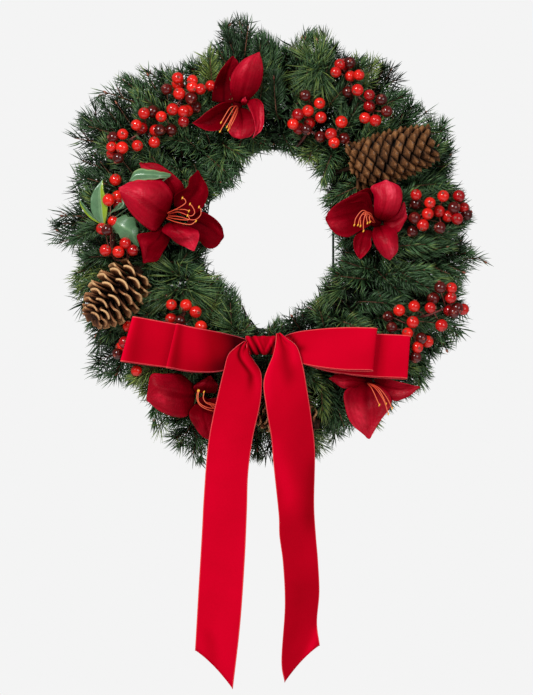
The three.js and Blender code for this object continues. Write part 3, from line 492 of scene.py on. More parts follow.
def ribbon_edge_material():
    """The woven selvage with its wire: a lighter line with small stitches."""
    stops = [(0.0, (150, 0, 22)), (0.45, (204, 8, 38)), (1.0, (244, 72, 68))]
    pile = [("Sheen Weight", 0.2)]
    return toned_material("ribbon_edge", stops, 700, 1.1, (0.5, 0.7), (1100, 0.8, 0.0006), pile)


def berry_material():
    """Glossy berries from burgundy through deep to bright red, mottled, under a clear coat."""
    stops = [(0.0, (62, 12, 9)), (0.25, (106, 12, 11)), (0.5, (166, 4, 12)), (1.0, (234, 34, 20))]
    coat = [("Specular IOR Level", 0.15), ("Coat Weight", 0.9), ("Coat Roughness", 0.05)]
    return toned_material("berry", stops, 130, 0.22, (0.2, 0.34), (300, 0.15, 0.0005), coat)


def stalk_material():
    stops = [(0.0, (96, 40, 36)), (0.5, (140, 66, 58)), (1.0, (176, 112, 98))]
    return toned_material("berry_stalk", stops, 400, 0.7, (0.4, 0.65), (1200, 0.3, 0.0003))


def calyx_material():
    stops = [(0.0, (84, 26, 20)), (0.5, (142, 58, 46)), (1.0, (186, 104, 86))]
    return toned_material("berry_calyx", stops, 900, 0.9, (0.5, 0.75), (1800, 0.5, 0.0003))


def filament_material():
    stops = [(0.0, (180, 30, 24)), (0.45, (218, 76, 48)), (0.8, (234, 116, 66)), (1.0, (240, 178, 40))]
    return toned_material("filament", stops, 500, 0.12, (0.4, 0.55), (1500, 0.2, 0.0002))


def cone_material(name, stops):
    gloss = [("Specular IOR Level", 0.2)]
    return toned_material(name, stops, 420, 0.6, (0.6, 0.88), (1100, 0.7, 0.0007), gloss)


def closed_cone_material():
    """Dark scales with grey points."""
    return cone_material("cone_closed", [
        (0.0, (10, 5, 2)), (0.35, (50, 29, 14)), (0.68, (108, 68, 36)), (0.88, (150, 104, 64)),
        (1.0, (84, 66, 56)),
    ])


def open_cone_material():
    """Brown scales with pale lips."""
    stops = [(0.0, (22, 10, 6)), (0.4, (94, 56, 34)), (0.75, (156, 104, 66)), (1.0, (216, 172, 122))]
    return cone_material("cone_open", stops)


def holly_material():
    """Waxy holly: deep green between paler veins, and a lime edge."""
    stops = [(0.0, (34, 66, 40)), (0.4, (92, 130, 92)), (0.66, (138, 168, 120)), (0.86, (134, 160, 34))]
    wax = [("Coat Weight", 0.35), ("Coat Roughness", 0.2)]
    return toned_material("holly", stops, 160, 0.22, (0.2, 0.38), (500, 0.25, 0.0008), wax)


def stem_material():
    stops = [(0.0, (52, 74, 40)), (0.5, (82, 108, 56)), (1.0, (120, 138, 78))]
    return toned_material("green_stem", stops, 240, 0.7, (0.45, 0.65), (800, 0.3, 0.0004))


def wire_material():
    stops = [(0.0, (12, 20, 14)), (0.5, (22, 36, 26)), (1.0, (40, 58, 44))]
    enamel = [("Coat Weight", 0.3)]
    return toned_material("wire_enamel", stops, 300, 0.8, (0.3, 0.5), (600, 0.2, 0.0003), enamel)


def floor_material():
    stops = [(0.0, (238, 238, 238)), (1.0, (244, 244, 244))]
    return toned_material("floor_paint", stops, 3, 0.6, (0.8, 0.95))


NEEDLE, BARK, BUD = needle_material(), bark_material(), bud_material()
PETAL, FILAMENT, STEM = petal_material(), filament_material(), stem_material()
VELVET, SELVAGE = ribbon_material(), ribbon_edge_material()
BERRY_SKIN, STALK, CALYX = berry_material(), stalk_material(), calyx_material()
CLOSED_CONE, OPEN_CONE = closed_cone_material(), open_cone_material()
HOLLY, WIRE_ENAMEL = holly_material(), wire_material()


# ---------------------------------------------------------------- camera, floor and light

FLOOR_RADIUS = 1.5  # in metres, as all of the stage
FLOOR_Z = -1.15
FLOOR_SIDES = 96
BACKDROP = 244  # the grey behind the object
SKY = 0.5  # strength of the light from all round
SKY_IN_GLOSS = 0.4  # share of it that reflections show
LIT_POINT = (0, 0, -0.3)  # what both lamps are turned to


def make_camera():
    data = bpy.data.cameras.new("camera")
    camera = bpy.data.objects.new("camera", data)
    bpy.context.scene.collection.objects.link(camera)
    camera.location = (CAMERA_X / METRE, -CAMERA_AWAY / METRE, (CAMERA_Z - RING_DROP) / METRE)
    camera.rotation_euler = (math.pi / 2, 0, 0)
    data.sensor_width = SENSOR
    data.lens = SENSOR * CAMERA_AWAY / (PICTURE[1] * PIXEL)
    bpy.context.scene.camera = camera


def make_floor():
    mesh = bpy.data.meshes.new("floor")
    rim = [(FLOOR_RADIUS * math.cos(a), FLOOR_RADIUS * math.sin(a), FLOOR_Z) for a in turns(FLOOR_SIDES)]
    mesh.from_pydata(rim, [], [list(range(FLOOR_SIDES))])
    mesh.materials.append(floor_material())
    floor = bpy.data.objects.new("floor", mesh)
    bpy.context.scene.collection.objects.link(floor)


def make_light(name, where, size, watts):
    data = bpy.data.lights.new(name, "AREA")
    data.size = size
    data.energy = watts
    light = bpy.data.objects.new(name, data)
    bpy.context.scene.collection.objects.link(light)
    light.location = where
    way = np.array(LIT_POINT) - np.array(where)
    light.rotation_euler = Vector(way).to_track_quat("-Z", "Y").to_euler()


def make_world():
    """Even light from all round, weaker in reflections, with a plain pale backdrop for the camera."""
    world = bpy.data.worlds.new("studio")
    world.use_nodes = True
    bpy.context.scene.world = world
    nodes, links = world.node_tree.nodes, world.node_tree.links
    seen = nodes["Background"]
    seen.inputs["Color"].default_value = linear(BACKDROP, BACKDROP, BACKDROP)
    light = nodes.new("ShaderNodeBackground")
    ray = nodes.new("ShaderNodeLightPath")
    strength = spread(nodes, links, ray.outputs["Is Glossy Ray"], SKY, SKY * SKY_IN_GLOSS)
    links.new(strength, light.inputs["Strength"])
    choice = nodes.new("ShaderNodeMixShader")
    links.new(ray.outputs["Is Camera Ray"], choice.inputs[0])
    links.new(light.outputs[0], choice.inputs[1])
    links.new(seen.outputs[0], choice.inputs[2])
    links.new(choice.outputs[0], nodes["World Output"].inputs["Surface"])


make_camera()
make_floor()
make_light("key", (-1.5, -2.6, 1.5), 1.1, 92)
make_light("fill", (1.9, -2.6, 0.3), 1.6, 28)
make_world()
bpy.context.scene.view_settings.view_transform = "Standard"


# ---------------------------------------------------------------- blooms

# Each bloom: where its throat is, where its stalk is wired on, and how much painted light or shade
# each of its petals has.
BLOOMS = {
    "top": ((237, 105, 82), (OUTER_RING, 105), (0.42, 0.76, 0.52, 0.74, 0.86, 0.8)),
    "left": ((171, 215, 82), (OUTER_RING, 165), (0.86, 0.62, 0.32, 0.33, 0.82, 0.42)),
    "right": ((376, 222, 82), (OUTER_RING, 0), (0.5, 0.38, 0.92, 0.75, 0.95, 0.6)),
    "lowerLeft": ((203, 402, 74), (OUTER_RING, 240), (0.64, 0.55, 0.6, 0.3)),
    "lowerRight": ((367, 382, 78), (OUTER_RING, 300), (0.62, 0.72, 0.62, 0.3)),
}
# The petals of each bloom, as stations from root to tip. A station is three places in a row, of the
# petal's one edge, its rib and its other edge; the last one is the place of the tip alone.
PETALS = {
    "top": [
        [(212, 101, 76, 224, 103, 78, 234, 103, 80), (213, 90, 80, 224, 86, 72, 236, 88, 74),
         (218, 75, 84, 228, 71, 76, 239, 72, 76), (225, 64, 84, 231, 62, 80, 238, 62, 80), (233, 56, 82)],
        [(234, 101, 84, 240, 103, 84, 249, 100, 84), (230, 87, 92, 243, 90, 98, 259, 88, 90),
         (233, 72, 96, 248, 72, 106, 263, 73, 96), (243, 60, 98, 253, 59, 104, 262, 61, 99),
         (259, 52, 99)],
        [(233, 102, 84, 231, 108, 82, 231, 118, 82), (222, 103, 104, 220, 113, 86, 221, 129, 92),
         (208, 111, 108, 207, 121, 92, 210, 131, 98), (200, 118, 106, 199, 123, 98, 201, 128, 100),
         (192.5, 123, 104)],
        [(234, 109, 82, 240, 108, 82, 247, 109, 82), (231, 118, 92, 242, 119, 98, 254, 116, 96),
         (228, 129, 102, 242, 129, 107, 256, 127, 102), (232, 136, 104, 241, 137, 106, 251, 136, 102),
         (240, 139, 103)],
        [(246, 101, 84, 249, 100, 84, 252, 99, 84), (249, 108, 98, 256, 100, 90, 262, 103, 97),
         (254, 120, 104, 259, 115, 96, 264, 116, 100), (255, 131, 104, 259, 127, 98, 262, 129, 100),
         (253, 138, 101)],
        [(242, 105, 86, 244, 105, 86, 246, 105, 86), (241, 101, 92, 244, 101, 95, 247, 101, 93),
         (245, 97, 94)],
    ],
    "left": [
        [(163, 222, 84, 168, 214, 86, 171, 205, 84), (154, 231, 96, 157, 210, 104, 172, 193, 94),
         (143, 225, 100, 146, 203, 112, 161, 180, 98), (131, 213, 98, 136, 196, 110, 144, 179, 98),
         (123, 200, 97, 127, 192, 104, 132, 181, 97), (118.7, 188, 98)],
        [(169, 204, 76, 175, 203, 77, 181, 201, 76), (164, 190, 80, 173, 188, 84, 184, 187, 82),
         (155, 177, 82, 163, 174, 86, 175, 176, 84), (143, 171, 82, 150, 167, 85, 158, 164, 83),
         (139.5, 163, 82)],
        [(174, 206, 82, 178, 210, 80, 182, 216, 82), (175, 195, 92, 186, 202, 84, 198, 212, 94),
         (187, 187, 96, 196, 192, 90, 206, 201, 97), (190, 178, 96, 199, 181, 94, 208, 189, 97),
         (198, 170.5, 95)],
        [(185, 213, 80, 187, 219, 78, 187, 226, 80), (202, 212, 92, 201, 223, 82, 197, 238, 88),
         (214, 218, 95, 212, 230, 86, 207, 248, 92), (222, 227, 93, 219, 236, 88, 216, 247, 91),
         (224, 237, 89)],
        [(165, 225, 84, 172, 222, 82, 180, 224, 84), (162, 231, 98, 175, 229, 108, 189, 227, 100),
         (170, 237, 100, 183, 236, 112, 198, 231, 106), (177, 243, 97, 187, 242, 105, 199, 239, 106),
         (194, 251, 105)],
        [(158, 225, 82, 164, 227, 84, 170, 230, 82), (150, 232, 96, 158, 239, 97, 169, 241, 88),
         (137, 235, 103, 150, 247, 101, 163, 252, 90), (141, 248, 99, 147, 256, 99, 157, 261, 92),
         (143.5, 263, 95)],
    ],
    "right": [
        [(374, 209, 82, 375, 217, 80, 371, 225, 82), (367, 192, 97, 362, 212, 84, 358, 232, 92),
         (350, 197, 104, 347, 216, 92, 348, 237, 101), (337, 204, 105, 335, 219, 98, 338, 235, 103),
         (329, 211, 102, 328, 220, 99, 331, 229, 102), (325.5, 219, 100)],
        [(373, 204, 82, 372, 207, 82, 371, 210, 82), (370, 189, 98, 367, 194, 92, 364, 202, 90),
         (356, 193, 103, 353, 197, 98, 351, 203, 97), (340, 203, 102)],
        [(375, 217, 84, 379, 220, 86, 385, 221, 84), (374, 207, 95, 383, 211, 104, 397, 213, 98),
         (374, 196, 98, 386, 198, 110, 402, 199, 99), (371, 187, 96, 385, 187, 106, 400, 187, 98),
         (386, 180, 99)],
        [(382, 219, 78, 383, 222, 80, 384, 225, 78), (397, 212, 86, 394, 221, 86, 390, 228, 84),
         (404, 202, 89, 403, 217, 88, 398, 232, 87), (407, 218, 86)],
        [(374, 228, 84, 379, 226, 84, 385, 225, 84), (372, 236, 93, 383, 234, 104, 396, 231, 94),
         (376, 247, 96, 387, 245, 110, 398, 244, 97), (383, 256, 94, 390, 255, 102, 397, 252, 95),
         (390, 260, 95)],
        [(358, 232, 86, 366, 230, 88, 373, 232, 86), (354, 239, 102, 363, 237, 92, 371, 239, 98),
         (354, 248, 103, 361, 247, 92, 371, 246, 98), (357, 255, 99, 360, 254, 94, 366, 254, 97),
         (360, 259, 97)],
    ],
    "lowerLeft": [
        [(193, 384, 76, 195, 396, 78, 192, 410, 76), (180, 374, 84, 180, 396, 94, 185, 417, 88),
         (164, 374, 90, 165, 393, 102, 171, 416, 92), (151, 375, 94, 155, 391, 100, 158, 410, 94),
         (146.5, 400, 92)],
        [(196, 393, 78, 205, 393, 80, 216, 393, 78), (194, 386, 86, 206, 384, 90, 218, 385, 86),
         (210, 375.5, 86)],
        [(195, 404, 76, 204, 404, 78, 214, 404, 76), (189, 414, 88, 203, 416, 93, 217, 416, 88),
         (195, 427, 91, 207, 428, 96, 219, 428, 91), (202, 436, 90, 210, 437, 92, 218, 436, 90),
         (211, 441, 88)],
        [(207, 399, 76, 208, 405, 76, 207, 411, 76), (222, 398, 82, 222, 408, 80, 221, 417, 82),
         (236, 409, 76)],
    ],
    "lowerRight": [
        [(366, 379, 80, 366, 382, 81, 364, 385, 80), (350, 373.5, 88, 351, 380, 95, 353, 387, 90),
         (338, 373.5, 90, 340, 381, 96, 343, 388, 92), (329, 378.5, 91)],
        [(360, 382, 82, 367, 382, 82, 376, 383, 82), (345, 391, 97, 366, 396, 91, 389, 394, 96),
         (345, 406, 103, 367, 409, 98, 391, 405, 102), (351, 423, 103, 369, 424, 100, 381, 420, 102),
         (369, 439, 100)],
        [(373, 379, 80, 375, 382, 80, 378, 386, 80), (388, 379, 91, 389, 388, 86, 391, 400, 90),
         (403, 383, 93, 403, 390, 90, 406, 398, 92), (420, 387, 89)],
        [(364, 378, 76, 368, 377, 76, 372, 378, 76), (360, 366, 76, 370, 364, 74, 380, 366, 76),
         (373, 352, 74)],
    ],
}
# The filaments of each bloom, from its throat to their anthers.
STAMENS = {
    "top": [
        [(236, 106, 86), (230, 108, 106), (221, 122.6, 114)],
        [(237, 106, 86), (234, 108, 108), (226, 121, 117), (220, 131.5, 116)],
        [(238, 107, 86), (236, 112, 108), (231, 122, 118), (228.3, 130, 117)],
        [(238, 107, 86), (237, 113, 108), (233, 122, 117), (229.5, 128, 116)],
        [(237, 107, 86), (236, 110, 108), (232, 118, 116), (227, 127, 118)],
    ],
    "left": [
        [(166, 214, 86), (172, 211, 104), (180, 207, 114), (185.5, 203, 116), (185, 199.5, 116),
         (182.4, 198, 115)],
        [(166, 215, 86), (178, 212, 108), (190, 216, 118), (194.6, 213, 119), (193, 207.5, 118),
         (190, 204, 117)],
        [(166, 216, 86), (178, 216.5, 108), (193, 220, 119), (200, 216, 119), (201, 210, 118),
         (199, 207, 117)],
        [(165, 218, 86), (176, 222, 108), (190, 224.5, 118), (196, 221, 119)],
        [(166, 217, 86), (176, 219, 106), (186, 220, 117), (189.5, 219, 118), (187.5, 215.5, 118)],
        [(167, 213, 86), (175, 210, 104), (184, 209.5, 114), (189, 211, 117)],
    ],
    "right": [
        [(374, 222, 86), (369, 214, 110), (362.5, 210.5, 118), (356, 218, 119), (354.3, 225, 118)],
        [(374, 222, 86), (371, 217, 108), (365, 212, 118), (360, 218, 120), (358, 225, 119)],
        [(374, 223, 86), (370, 220, 106), (366, 214, 118), (363.5, 222, 120), (363.5, 231, 118)],
        [(374, 222, 86), (371, 214, 108), (366, 212.5, 117), (366.5, 218, 119), (367.5, 223, 118)],
        [(375, 223, 86), (372, 217, 108), (367, 214, 117), (361, 216, 119), (360.5, 226, 118)],
        [(374, 222, 86), (372, 218, 104), (370, 215, 112), (369.5, 219, 116), (370, 222, 115)],
    ],
    "lowerLeft": [
        [(207, 402, 78), (216, 408, 92), (207, 407.5, 99), (199.5, 403, 100), (198, 397, 99),
         (199, 391, 98)],
        [(207, 402, 78), (216, 411, 92), (206, 409, 98), (199, 404, 99), (196.8, 397, 98),
         (198, 390.5, 97)],
        [(207, 402, 78), (216, 405, 92), (208, 404, 98), (203.5, 399, 99), (204, 392, 98)],
    ],
    "lowerRight": [
        [(367, 383, 84), (372, 389, 108), (379.4, 405, 114)],
        [(368, 383, 84), (376, 389, 108), (384, 401, 115), (388.4, 414, 114)],
        [(369, 383, 84), (379, 388, 107), (387, 398, 113), (392.2, 408.5, 112)],
        [(368, 383, 84), (377, 388, 108), (382, 395, 114), (386, 404, 114)],
    ],
}
PETAL_ROWS = 26
PETAL_COLUMNS = 21
VEINS = 9  # raised veins across a petal
CUP_RADIUS = 7.5
FILAMENT_RADIUS = 0.62
ANTHER_HALF = np.array([0.8, 0, 1.6])
ANTHER_RADII = [0.6, 1.1, 0.6]
BLOOM_STALK_RADIUS = 2.3


def petal_grid(outline, seed):
    """A smooth surface through a petal's stations, with a grooved rib, veins and a wavy edge."""
    stations = stations_of(outline)
    before, last = stations[-2:]
    nearly = last + (before - last) * 0.12 * np.array([[1.6], [0.0], [1.6]])
    lines = spline(np.array([*stations[:-1], nearly]), PETAL_ROWS)
    across = np.linspace(-1, 1, PETAL_COLUMNS)[None]
    along = np.linspace(0, 1, PETAL_ROWS)[:, None]
    left, rib, right = lines[:, 0], lines[:, 1], lines[:, 2]
    u = across[0][None, :, None]
    grid = rib[:, None] * (1 - u**2) + left[:, None] * (u**2 - u) / 2 + right[:, None] * (u**2 + u) / 2
    phase = seed * 1.7
    ruffle = 1.7 * across**4 * np.sin(along * 13 + phase + 2 * np.sign(across))
    swell = 1.5 * np.sin(along * 7 + across * 2.4 + phase) * (1 - across**2)
    groove = 1.3 * hump(across, 0.13) * np.sin(along * math.pi)
    veins = 0.1 * np.cos(across * math.pi * VEINS + np.sin(along * 6 + phase))
    wrinkle = 0.35 * np.sin(along * 34 + across * 9 + phase) * np.sin(across * 5 - phase)
    grid[..., 1] += (ruffle + swell + groove + veins + wrinkle) * np.minimum(1, along * 3)
    return grid


def petal_tone(shade, seed):
    """Dark in the throat, lighter outwards and scaled by the petal's painted shade, with a painted
    highlight patch, painted shade down the rib, streaks along the veins and a light rim.
    """
    along = np.linspace(0, 1, PETAL_ROWS)[:, None]
    across = np.linspace(-1, 1, PETAL_COLUMNS)[None]
    streak = 0.05 * np.cos(across * math.pi * VEINS + seed) * (0.4 + along)
    rim = 0.2 * np.clip((np.abs(across) - 0.86) * 8, 0, 1) + 0.12 * np.clip((along - 0.92) * 12, 0, 1)
    # painted shade down the rib's groove, deepest near the throat
    rib = -0.16 * hump(across, 0.1) * (1 - along)
    # a mottled patch of painted highlight on one side of the rib
    side = -0.42 if seed % 2 else 0.36
    patch = np.exp(-(((along - 0.62) / 0.2) ** 2) - ((across - side) / 0.3) ** 2)
    mottle = 1 + 0.4 * np.sin(along * 40 + across * 17 + seed) * np.sin(across * 23 - along * 9)
    painted_highlight = (0.5 - 0.25 * shade) * patch * mottle * shade
    return np.clip(shade * (0.2 + 0.72 * along**0.6) + streak * shade + rim * shade + rib + painted_highlight, 0, 1)


def make_petals(name, centre, painted_petal_shades):
    petals = Shape()
    for index, (outline, shade) in enumerate(zip(PETALS[name], painted_petal_shades)):
        sheet_of(petals, petal_grid(outline, index), PETAL_THICK, petal_tone(shade, index))
    ball(petals, centre + [0, 3, 0], CUP_RADIUS, (0, -1, 0), 0.1, 0.8)
    petals.build(f"bloom_{name}_petals", [PETAL], "petals")
    shield.cover(petals)


def make_stamens(name, centre):
    stamens = Shape()
    for points in STAMENS[name]:
        path = spline(places(points), 22)
        path[0] = centre + (path[0] - centre) * 0.5
        tube(stamens, path, FILAMENT_RADIUS, 6, np.linspace(0.3, 0.75, len(path)))
        end = path[-1]
        tube(stamens, np.array([end - ANTHER_HALF, end, end + ANTHER_HALF]), ANTHER_RADII, 6, 0.98)
    stamens.build(f"bloom_{name}_stamens", [FILAMENT], "stamens")
    shield.cover(stamens)


def make_bloom_stalk(name, centre, ring, degrees):
    """The stalk, with the green cup that carries the petals."""
    stalk = Shape()
    behind = centre + [0, 8, 0]
    path = wired_route(polar(ring, degrees, -SEAT), 26, 22, behind, 24)
    tube(stalk, path, BLOOM_STALK_RADIUS, 8)
    tube(stalk, np.array([behind + [0, 6, 0], behind, behind - [0, 5, 0]]), [2.6, 5.0, 6.4], 10)
    stalk.build(f"bloom_{name}_stalk", [STEM], "stalks")


def make_bloom(name, throat, wired_on, painted_petal_shades):
    centre = place(*throat)
    make_petals(name, centre, painted_petal_shades)
    make_stamens(name, centre)
    make_bloom_stalk(name, centre, *wired_on)


# ---------------------------------------------------------------- berries

# Each spray: where its stalk meets the frame, where the stalk runs, and its berries as (px, py, back,
# dark). A berry that is set back lies behind its neighbours; a dark one is burgundy.
SPRAYS = {
    "topLeft": {
        "anchor": (OUTER_RING, 135),
        "stalk": [(-150, -50, 148), (-126, -68, 168), (-106, -70, 190), (-92, -68, 198)],
        "side": [(-158, -62, 142), (-180, -66, 130), (-196, -66, 118)],
        "berries": [
            (177.7, 78.1, 0, 0), (178, 84.3, 1, 0), (179.2, 93.5, 0, 0), (166.4, 89.1, 0, 1),
            (192.4, 80.3, 0, 0), (192.4, 86.9, 0, 0), (200.5, 89.1, 0, 0), (210.7, 85.8, 1, 0),
            (191.3, 98.3, 0, 1), (196, 107, 1, 1), (172.6, 109.3, 0, 0), (183.6, 111.5, 0, 0),
            (187.3, 110.7, 1, 0), (183.6, 121.7, 0, 0), (144, 113.3, 0, 0), (152.4, 111.5, 1, 1),
            (161.2, 116.6, 0, 0), (136.3, 125, 0, 0), (141.8, 128.3, 1, 0), (122.7, 134.2, 0, 0),
            (113.2, 137.5, 0, 1), (154.3, 142.3, 0, 0), (155.4, 130.5, 1, 0), (159.8, 130.2, 0, 1),
            (171.1, 129.8, 1, 1), (111.7, 147, 0, 0), (122, 147.8, 0, 0), (112.1, 153.6, 1, 0),
            (118.3, 158, 0, 1), (137.4, 145.6, 0, 0),
        ],
    },
    "topInner": {
        "anchor": (INNER_RING, 75),
        "stalk": [(45, -46, 130), (52, -66, 142), (58, -68, 156), (58, -68, 172)],
        "side": [(60, -66, 136), (72, -66, 132), (86, -68, 134)],
        "berries": [
            (305.2, 95.4, 0, 1), (319.6, 103.2, 0, 0), (308, 110.8, 0, 0), (298, 114.4, 0, 0),
            (320.8, 117.4, 0, 0), (293, 124, 0, 0), (306.3, 129.4, 0, 1), (309.7, 122.7, 1, 0),
            (298.9, 128.5, 1, 0), (341.5, 121.9, 0, 0), (320.4, 136.8, 1, 1), (330.9, 134, 0, 0),
            (334, 142.6, 0, 0), (344, 138.5, 1, 1),
        ],
    },
    "topRight": {
        "anchor": (OUTER_RING, 60),
        "stalk": [(108, -46, 182), (110, -64, 194), (104, -62, 212)],
        "side": [(118, -64, 184), (128, -66, 176), (136, -66, 166)],
        "berries": [
            (339.8, 64.3, 0, 0), (335.7, 72.1, 0, 0), (349.8, 62.7, 0, 1), (343.6, 64.7, 1, 0),
            (350.3, 76, 1, 0), (358.9, 75, 0, 0), (357.6, 90, 0, 0), (347.8, 92, 1, 1), (369.4, 95, 0, 0),
            (381.3, 99.5, 0, 1), (386.8, 111.4, 0, 1), (364.9, 118, 0, 0), (375.5, 120.6, 0, 0),
            (369.4, 106.1, 1, 0),
        ],
    },
    "right": {
        "anchor": (OUTER_RING, 15),
        "stalk": [(205, -48, 40), (222, -60, 36), (240, -56, 34)],
        "side": [],
        "berries": [
            (416.1, 194.7, 0, 0), (429.9, 202.7, 0, 0), (443.2, 196, 0, 0), (458.9, 196, 0, 0),
            (453.9, 207.7, 0, 1), (463.9, 207.7, 1, 0), (427.7, 213.8, 0, 0), (439, 211.3, 1, 0),
            (457.2, 218.8, 0, 0), (448, 216.3, 1, 0), (414.6, 218, 0, 1), (422.9, 225, 0, 0),
            (439.8, 227.9, 0, 1), (415.8, 203.8, 1, 1), (466.4, 214.6, 1, 1), (412.5, 231.2, 1, 1),
        ],
    },
    "lowerRight": {
        "anchor": (OUTER_RING, 330),
        "stalk": [(190, -48, -104), (205, -66, -104), (226, -62, -96), (238, -58, -88)],
        "side": [(192, -62, -116), (190, -64, -128), (194, -62, -142)],
        "berries": [
            (440.2, 287.3, 0, 1), (451.4, 288.1, 0, 0), (450.6, 297.5, 0, 0), (433.2, 298.4, 1, 1),
            (430.2, 307.8, 0, 0), (414.1, 306.3, 0, 0), (399.2, 310.3, 0, 0), (388.4, 316.6, 1, 1),
            (449, 310.8, 1, 0), (457.2, 308.3, 0, 1), (463, 309.2, 1, 0), (441.5, 325.4, 0, 0),
            (412.8, 322.1, 0, 0), (391.7, 327.4, 0, 1), (407.5, 333.2, 0, 0), (421.3, 338.2, 0, 1),
            (427.4, 341.5, 1, 0), (417.4, 347.3, 0, 0), (415.5, 357.2, 0, 1), (453.9, 312.5, 0, 1),
        ],
    },
    "left": {
        "anchor": (OUTER_RING, 180),
        "stalk": [(-206, -30, -12), (-206, -54, -26), (-197, -62, -31), (-186, -64, -28)],
        "side": [],
        "berries": [
            (105.5, 250.3, 0, 0), (118.3, 251.9, 0, 0), (125.4, 243.2, 0, 0), (132.9, 250.3, 0, 0),
            (107.2, 229.6, 0, 1), (102.2, 228.7, 1, 0), (108.5, 200, 0, 0), (118, 196.4, 1, 0),
            (118.3, 203.8, 1, 0), (113, 221.3, 1, 0), (115.5, 179.8, 1, 0),
        ],
    },
    "lowerLeft": {
        "anchor": (INNER_RING, 225),
        "stalk": [(-92, -40, -96), (-98, -60, -100), (-110, -66, -100)],
        "side": [],
        "berries": [
            (171.3, 304.7, 0, 0), (186, 305, 0, 0), (195.6, 312, 0, 0), (180.1, 320.8, 0, 1),
            (200.9, 326.6, 0, 0), (171, 319, 1, 0),
        ],
    },
    "lowerOuter": {
        "anchor": (OUTER_RING, 210),
        "stalk": [(-180, -30, -112), (-186, -56, -126), (-188, -62, -140)],
        "side": [],
        "berries": [
            (136.5, 370.8, 0, 0), (117.6, 353.9, 0, 1), (121.3, 347.3, 1, 0), (124.6, 342.3, 0, 0),
            (128.7, 326.6, 1, 0),
        ],
    },
}
BERRY_DEPTH = 88  # of the fronts of the berries that face the viewer
BERRY_BACK = 14  # how much further back a berry lies that is set back
BERRY_EDGE = 235  # past this radius they lie further back, as the wreath's face falls away
BERRY_FALL = 0.5  # by this much for each millimetre
CALYX_TEETH = 5


def berry_centre(px, py, back):
    radius = math.hypot(px - RING_PIXEL[0], py - RING_PIXEL[1]) * PIXEL
    front = BERRY_DEPTH - max(0, radius - BERRY_EDGE) * BERRY_FALL
    return place(px, py, front - BERRY_BACK * back)


def make_berry(shape, centre, stalk_foot, dark, seed):
    """A berry on its own stalk, its blossom end turned away from the stalk."""
    away = unit(centre - stalk_foot)
    away = unit(away + RANDOM.normal(0, 0.5, 3) + [0, -0.35, 0])
    size = BERRY * RANDOM.uniform(0.95, 1.09)
    tone = RANDOM.uniform(0.02, 0.16) if dark else RANDOM.uniform(0.62, 0.98)
    if seed % 5 == 3 and not dark:
        tone = 0.45
    ball(shape, centre, size, away, tone, 0.97)
    tip = centre + away * size * 0.97
    side = unit(np.cross(away, [0.1, 0.4, 1]))
    other = np.cross(away, side)
    for tooth in range(CALYX_TEETH):
        out = heading(tooth / CALYX_TEETH * FULL_TURN, side, other)
        path = np.array([tip - away * 1.0, tip + out * 1.3 + away * 0.3, tip + out * 2.3 + away * 0.9])
        tube(shape, path, [0.8, 0.75, 0.2], 4, 0.6, 2)
    bend = (centre + stalk_foot) / 2 + [0, 3.0, 0]
    path = spline([stalk_foot, bend, centre - away * size * 0.9], 8)
    tube(shape, path, np.linspace(1.0, 0.75, 8), 6, np.linspace(0.3, 0.8, 8), 1)


def make_spray(name, spray):
    """A forked stalk with its berries, each held by the nearest place of the stalk."""
    shape = Shape()
    foot = polar(*spray["anchor"], -SEAT)
    main = spline([foot, foot - [0, 12, 0], *spray["stalk"]], 60)
    tube(shape, main, np.linspace(2.2, 1.2, 60), 7, 0.25, 1)
    joints = list(main[16:])
    if spray["side"]:
        fork = min(joints, key=lambda joint: np.linalg.norm(joint - np.array(spray["side"][0])))
        branch = spline([fork, *spray["side"]], 30)
        tube(shape, branch, np.linspace(1.9, 1.1, 30), 6, 0.3, 1)
        joints.extend(branch[4:])
    joints = np.array(joints)
    for seed, (px, py, back, dark) in enumerate(spray["berries"]):
        centre = berry_centre(px, py, back)
        nearest = joints[np.argmin(np.linalg.norm(joints - centre, axis=1))]
        make_berry(shape, centre, nearest, dark, seed)
    shape.build(f"berries_{name}", [BERRY_SKIN, STALK, CALYX], "berries")
    shield.cover(shape)


# ---------------------------------------------------------------- cones

# The closed cone, from its base to its point.
CLOSED_BASE, CLOSED_END = (115, -70, 91), (208, -76, 121)
CLOSED_GIRTH = 29.5
CLOSED_ROWS, CLOSED_AROUND = 15, 8  # rows of scales, and scales in a row
BASE_SCALES = 26  # flared ones round its base
BOSS_SIDES = 12
# The rings of a scale's boss, from its dark gap to its grey point, as (spread, lift, shade). The shade is
# painted shade, deepest in the gap and up the boss's low sides; at one it is the grey point's own colour.
BOSS_LEVELS = [
    (0.9, -6.0, 0.0), (0.96, 0.0, 0.06), (0.88, 2.0, 0.5), (0.55, 5.0, 0.8), (0.26, 7.4, 0.9),
    (0.13, 8.6, 1.0),
]
# Each open cone: its base, its point, its girth, how many scales it has and where its stalk is wired on.
OPEN_CONES = {
    "cone_left": ((-173, -56, -44), (-226, -90, -104), 36, 56, (OUTER_RING, 195)),
    "cone_bottom": ((64, -60, -246), (-15, -62, -232), 25, 44, (OUTER_RING, 285)),
}
OPEN_SCALE_WIDTH = 21.5


def cone_axis(base, end):
    """A cone's base, its way and length, and two directions square to it."""
    base, end = np.asarray(base, float), np.asarray(end, float)
    along = unit(end - base)
    side = unit(np.cross([0, -1, 0], along))
    return base, along, np.linalg.norm(end - base), side, np.cross(along, side)


def cone_stalk(shape, anchor, inside):
    foot = polar(*anchor, -SEAT)
    path = spline([foot, foot - [0, 22, 0], (foot + inside) / 2 - [0, 24, 0], inside], 16)
    tube(shape, path, 2.8, 7, 0.3)


def closed_girth(share):
    """The radius of the closed cone at a share of its length."""
    return CLOSED_GIRTH * np.sin(math.pi * np.clip(0.32 + 0.46 * share, 0, 1)) ** 0.9


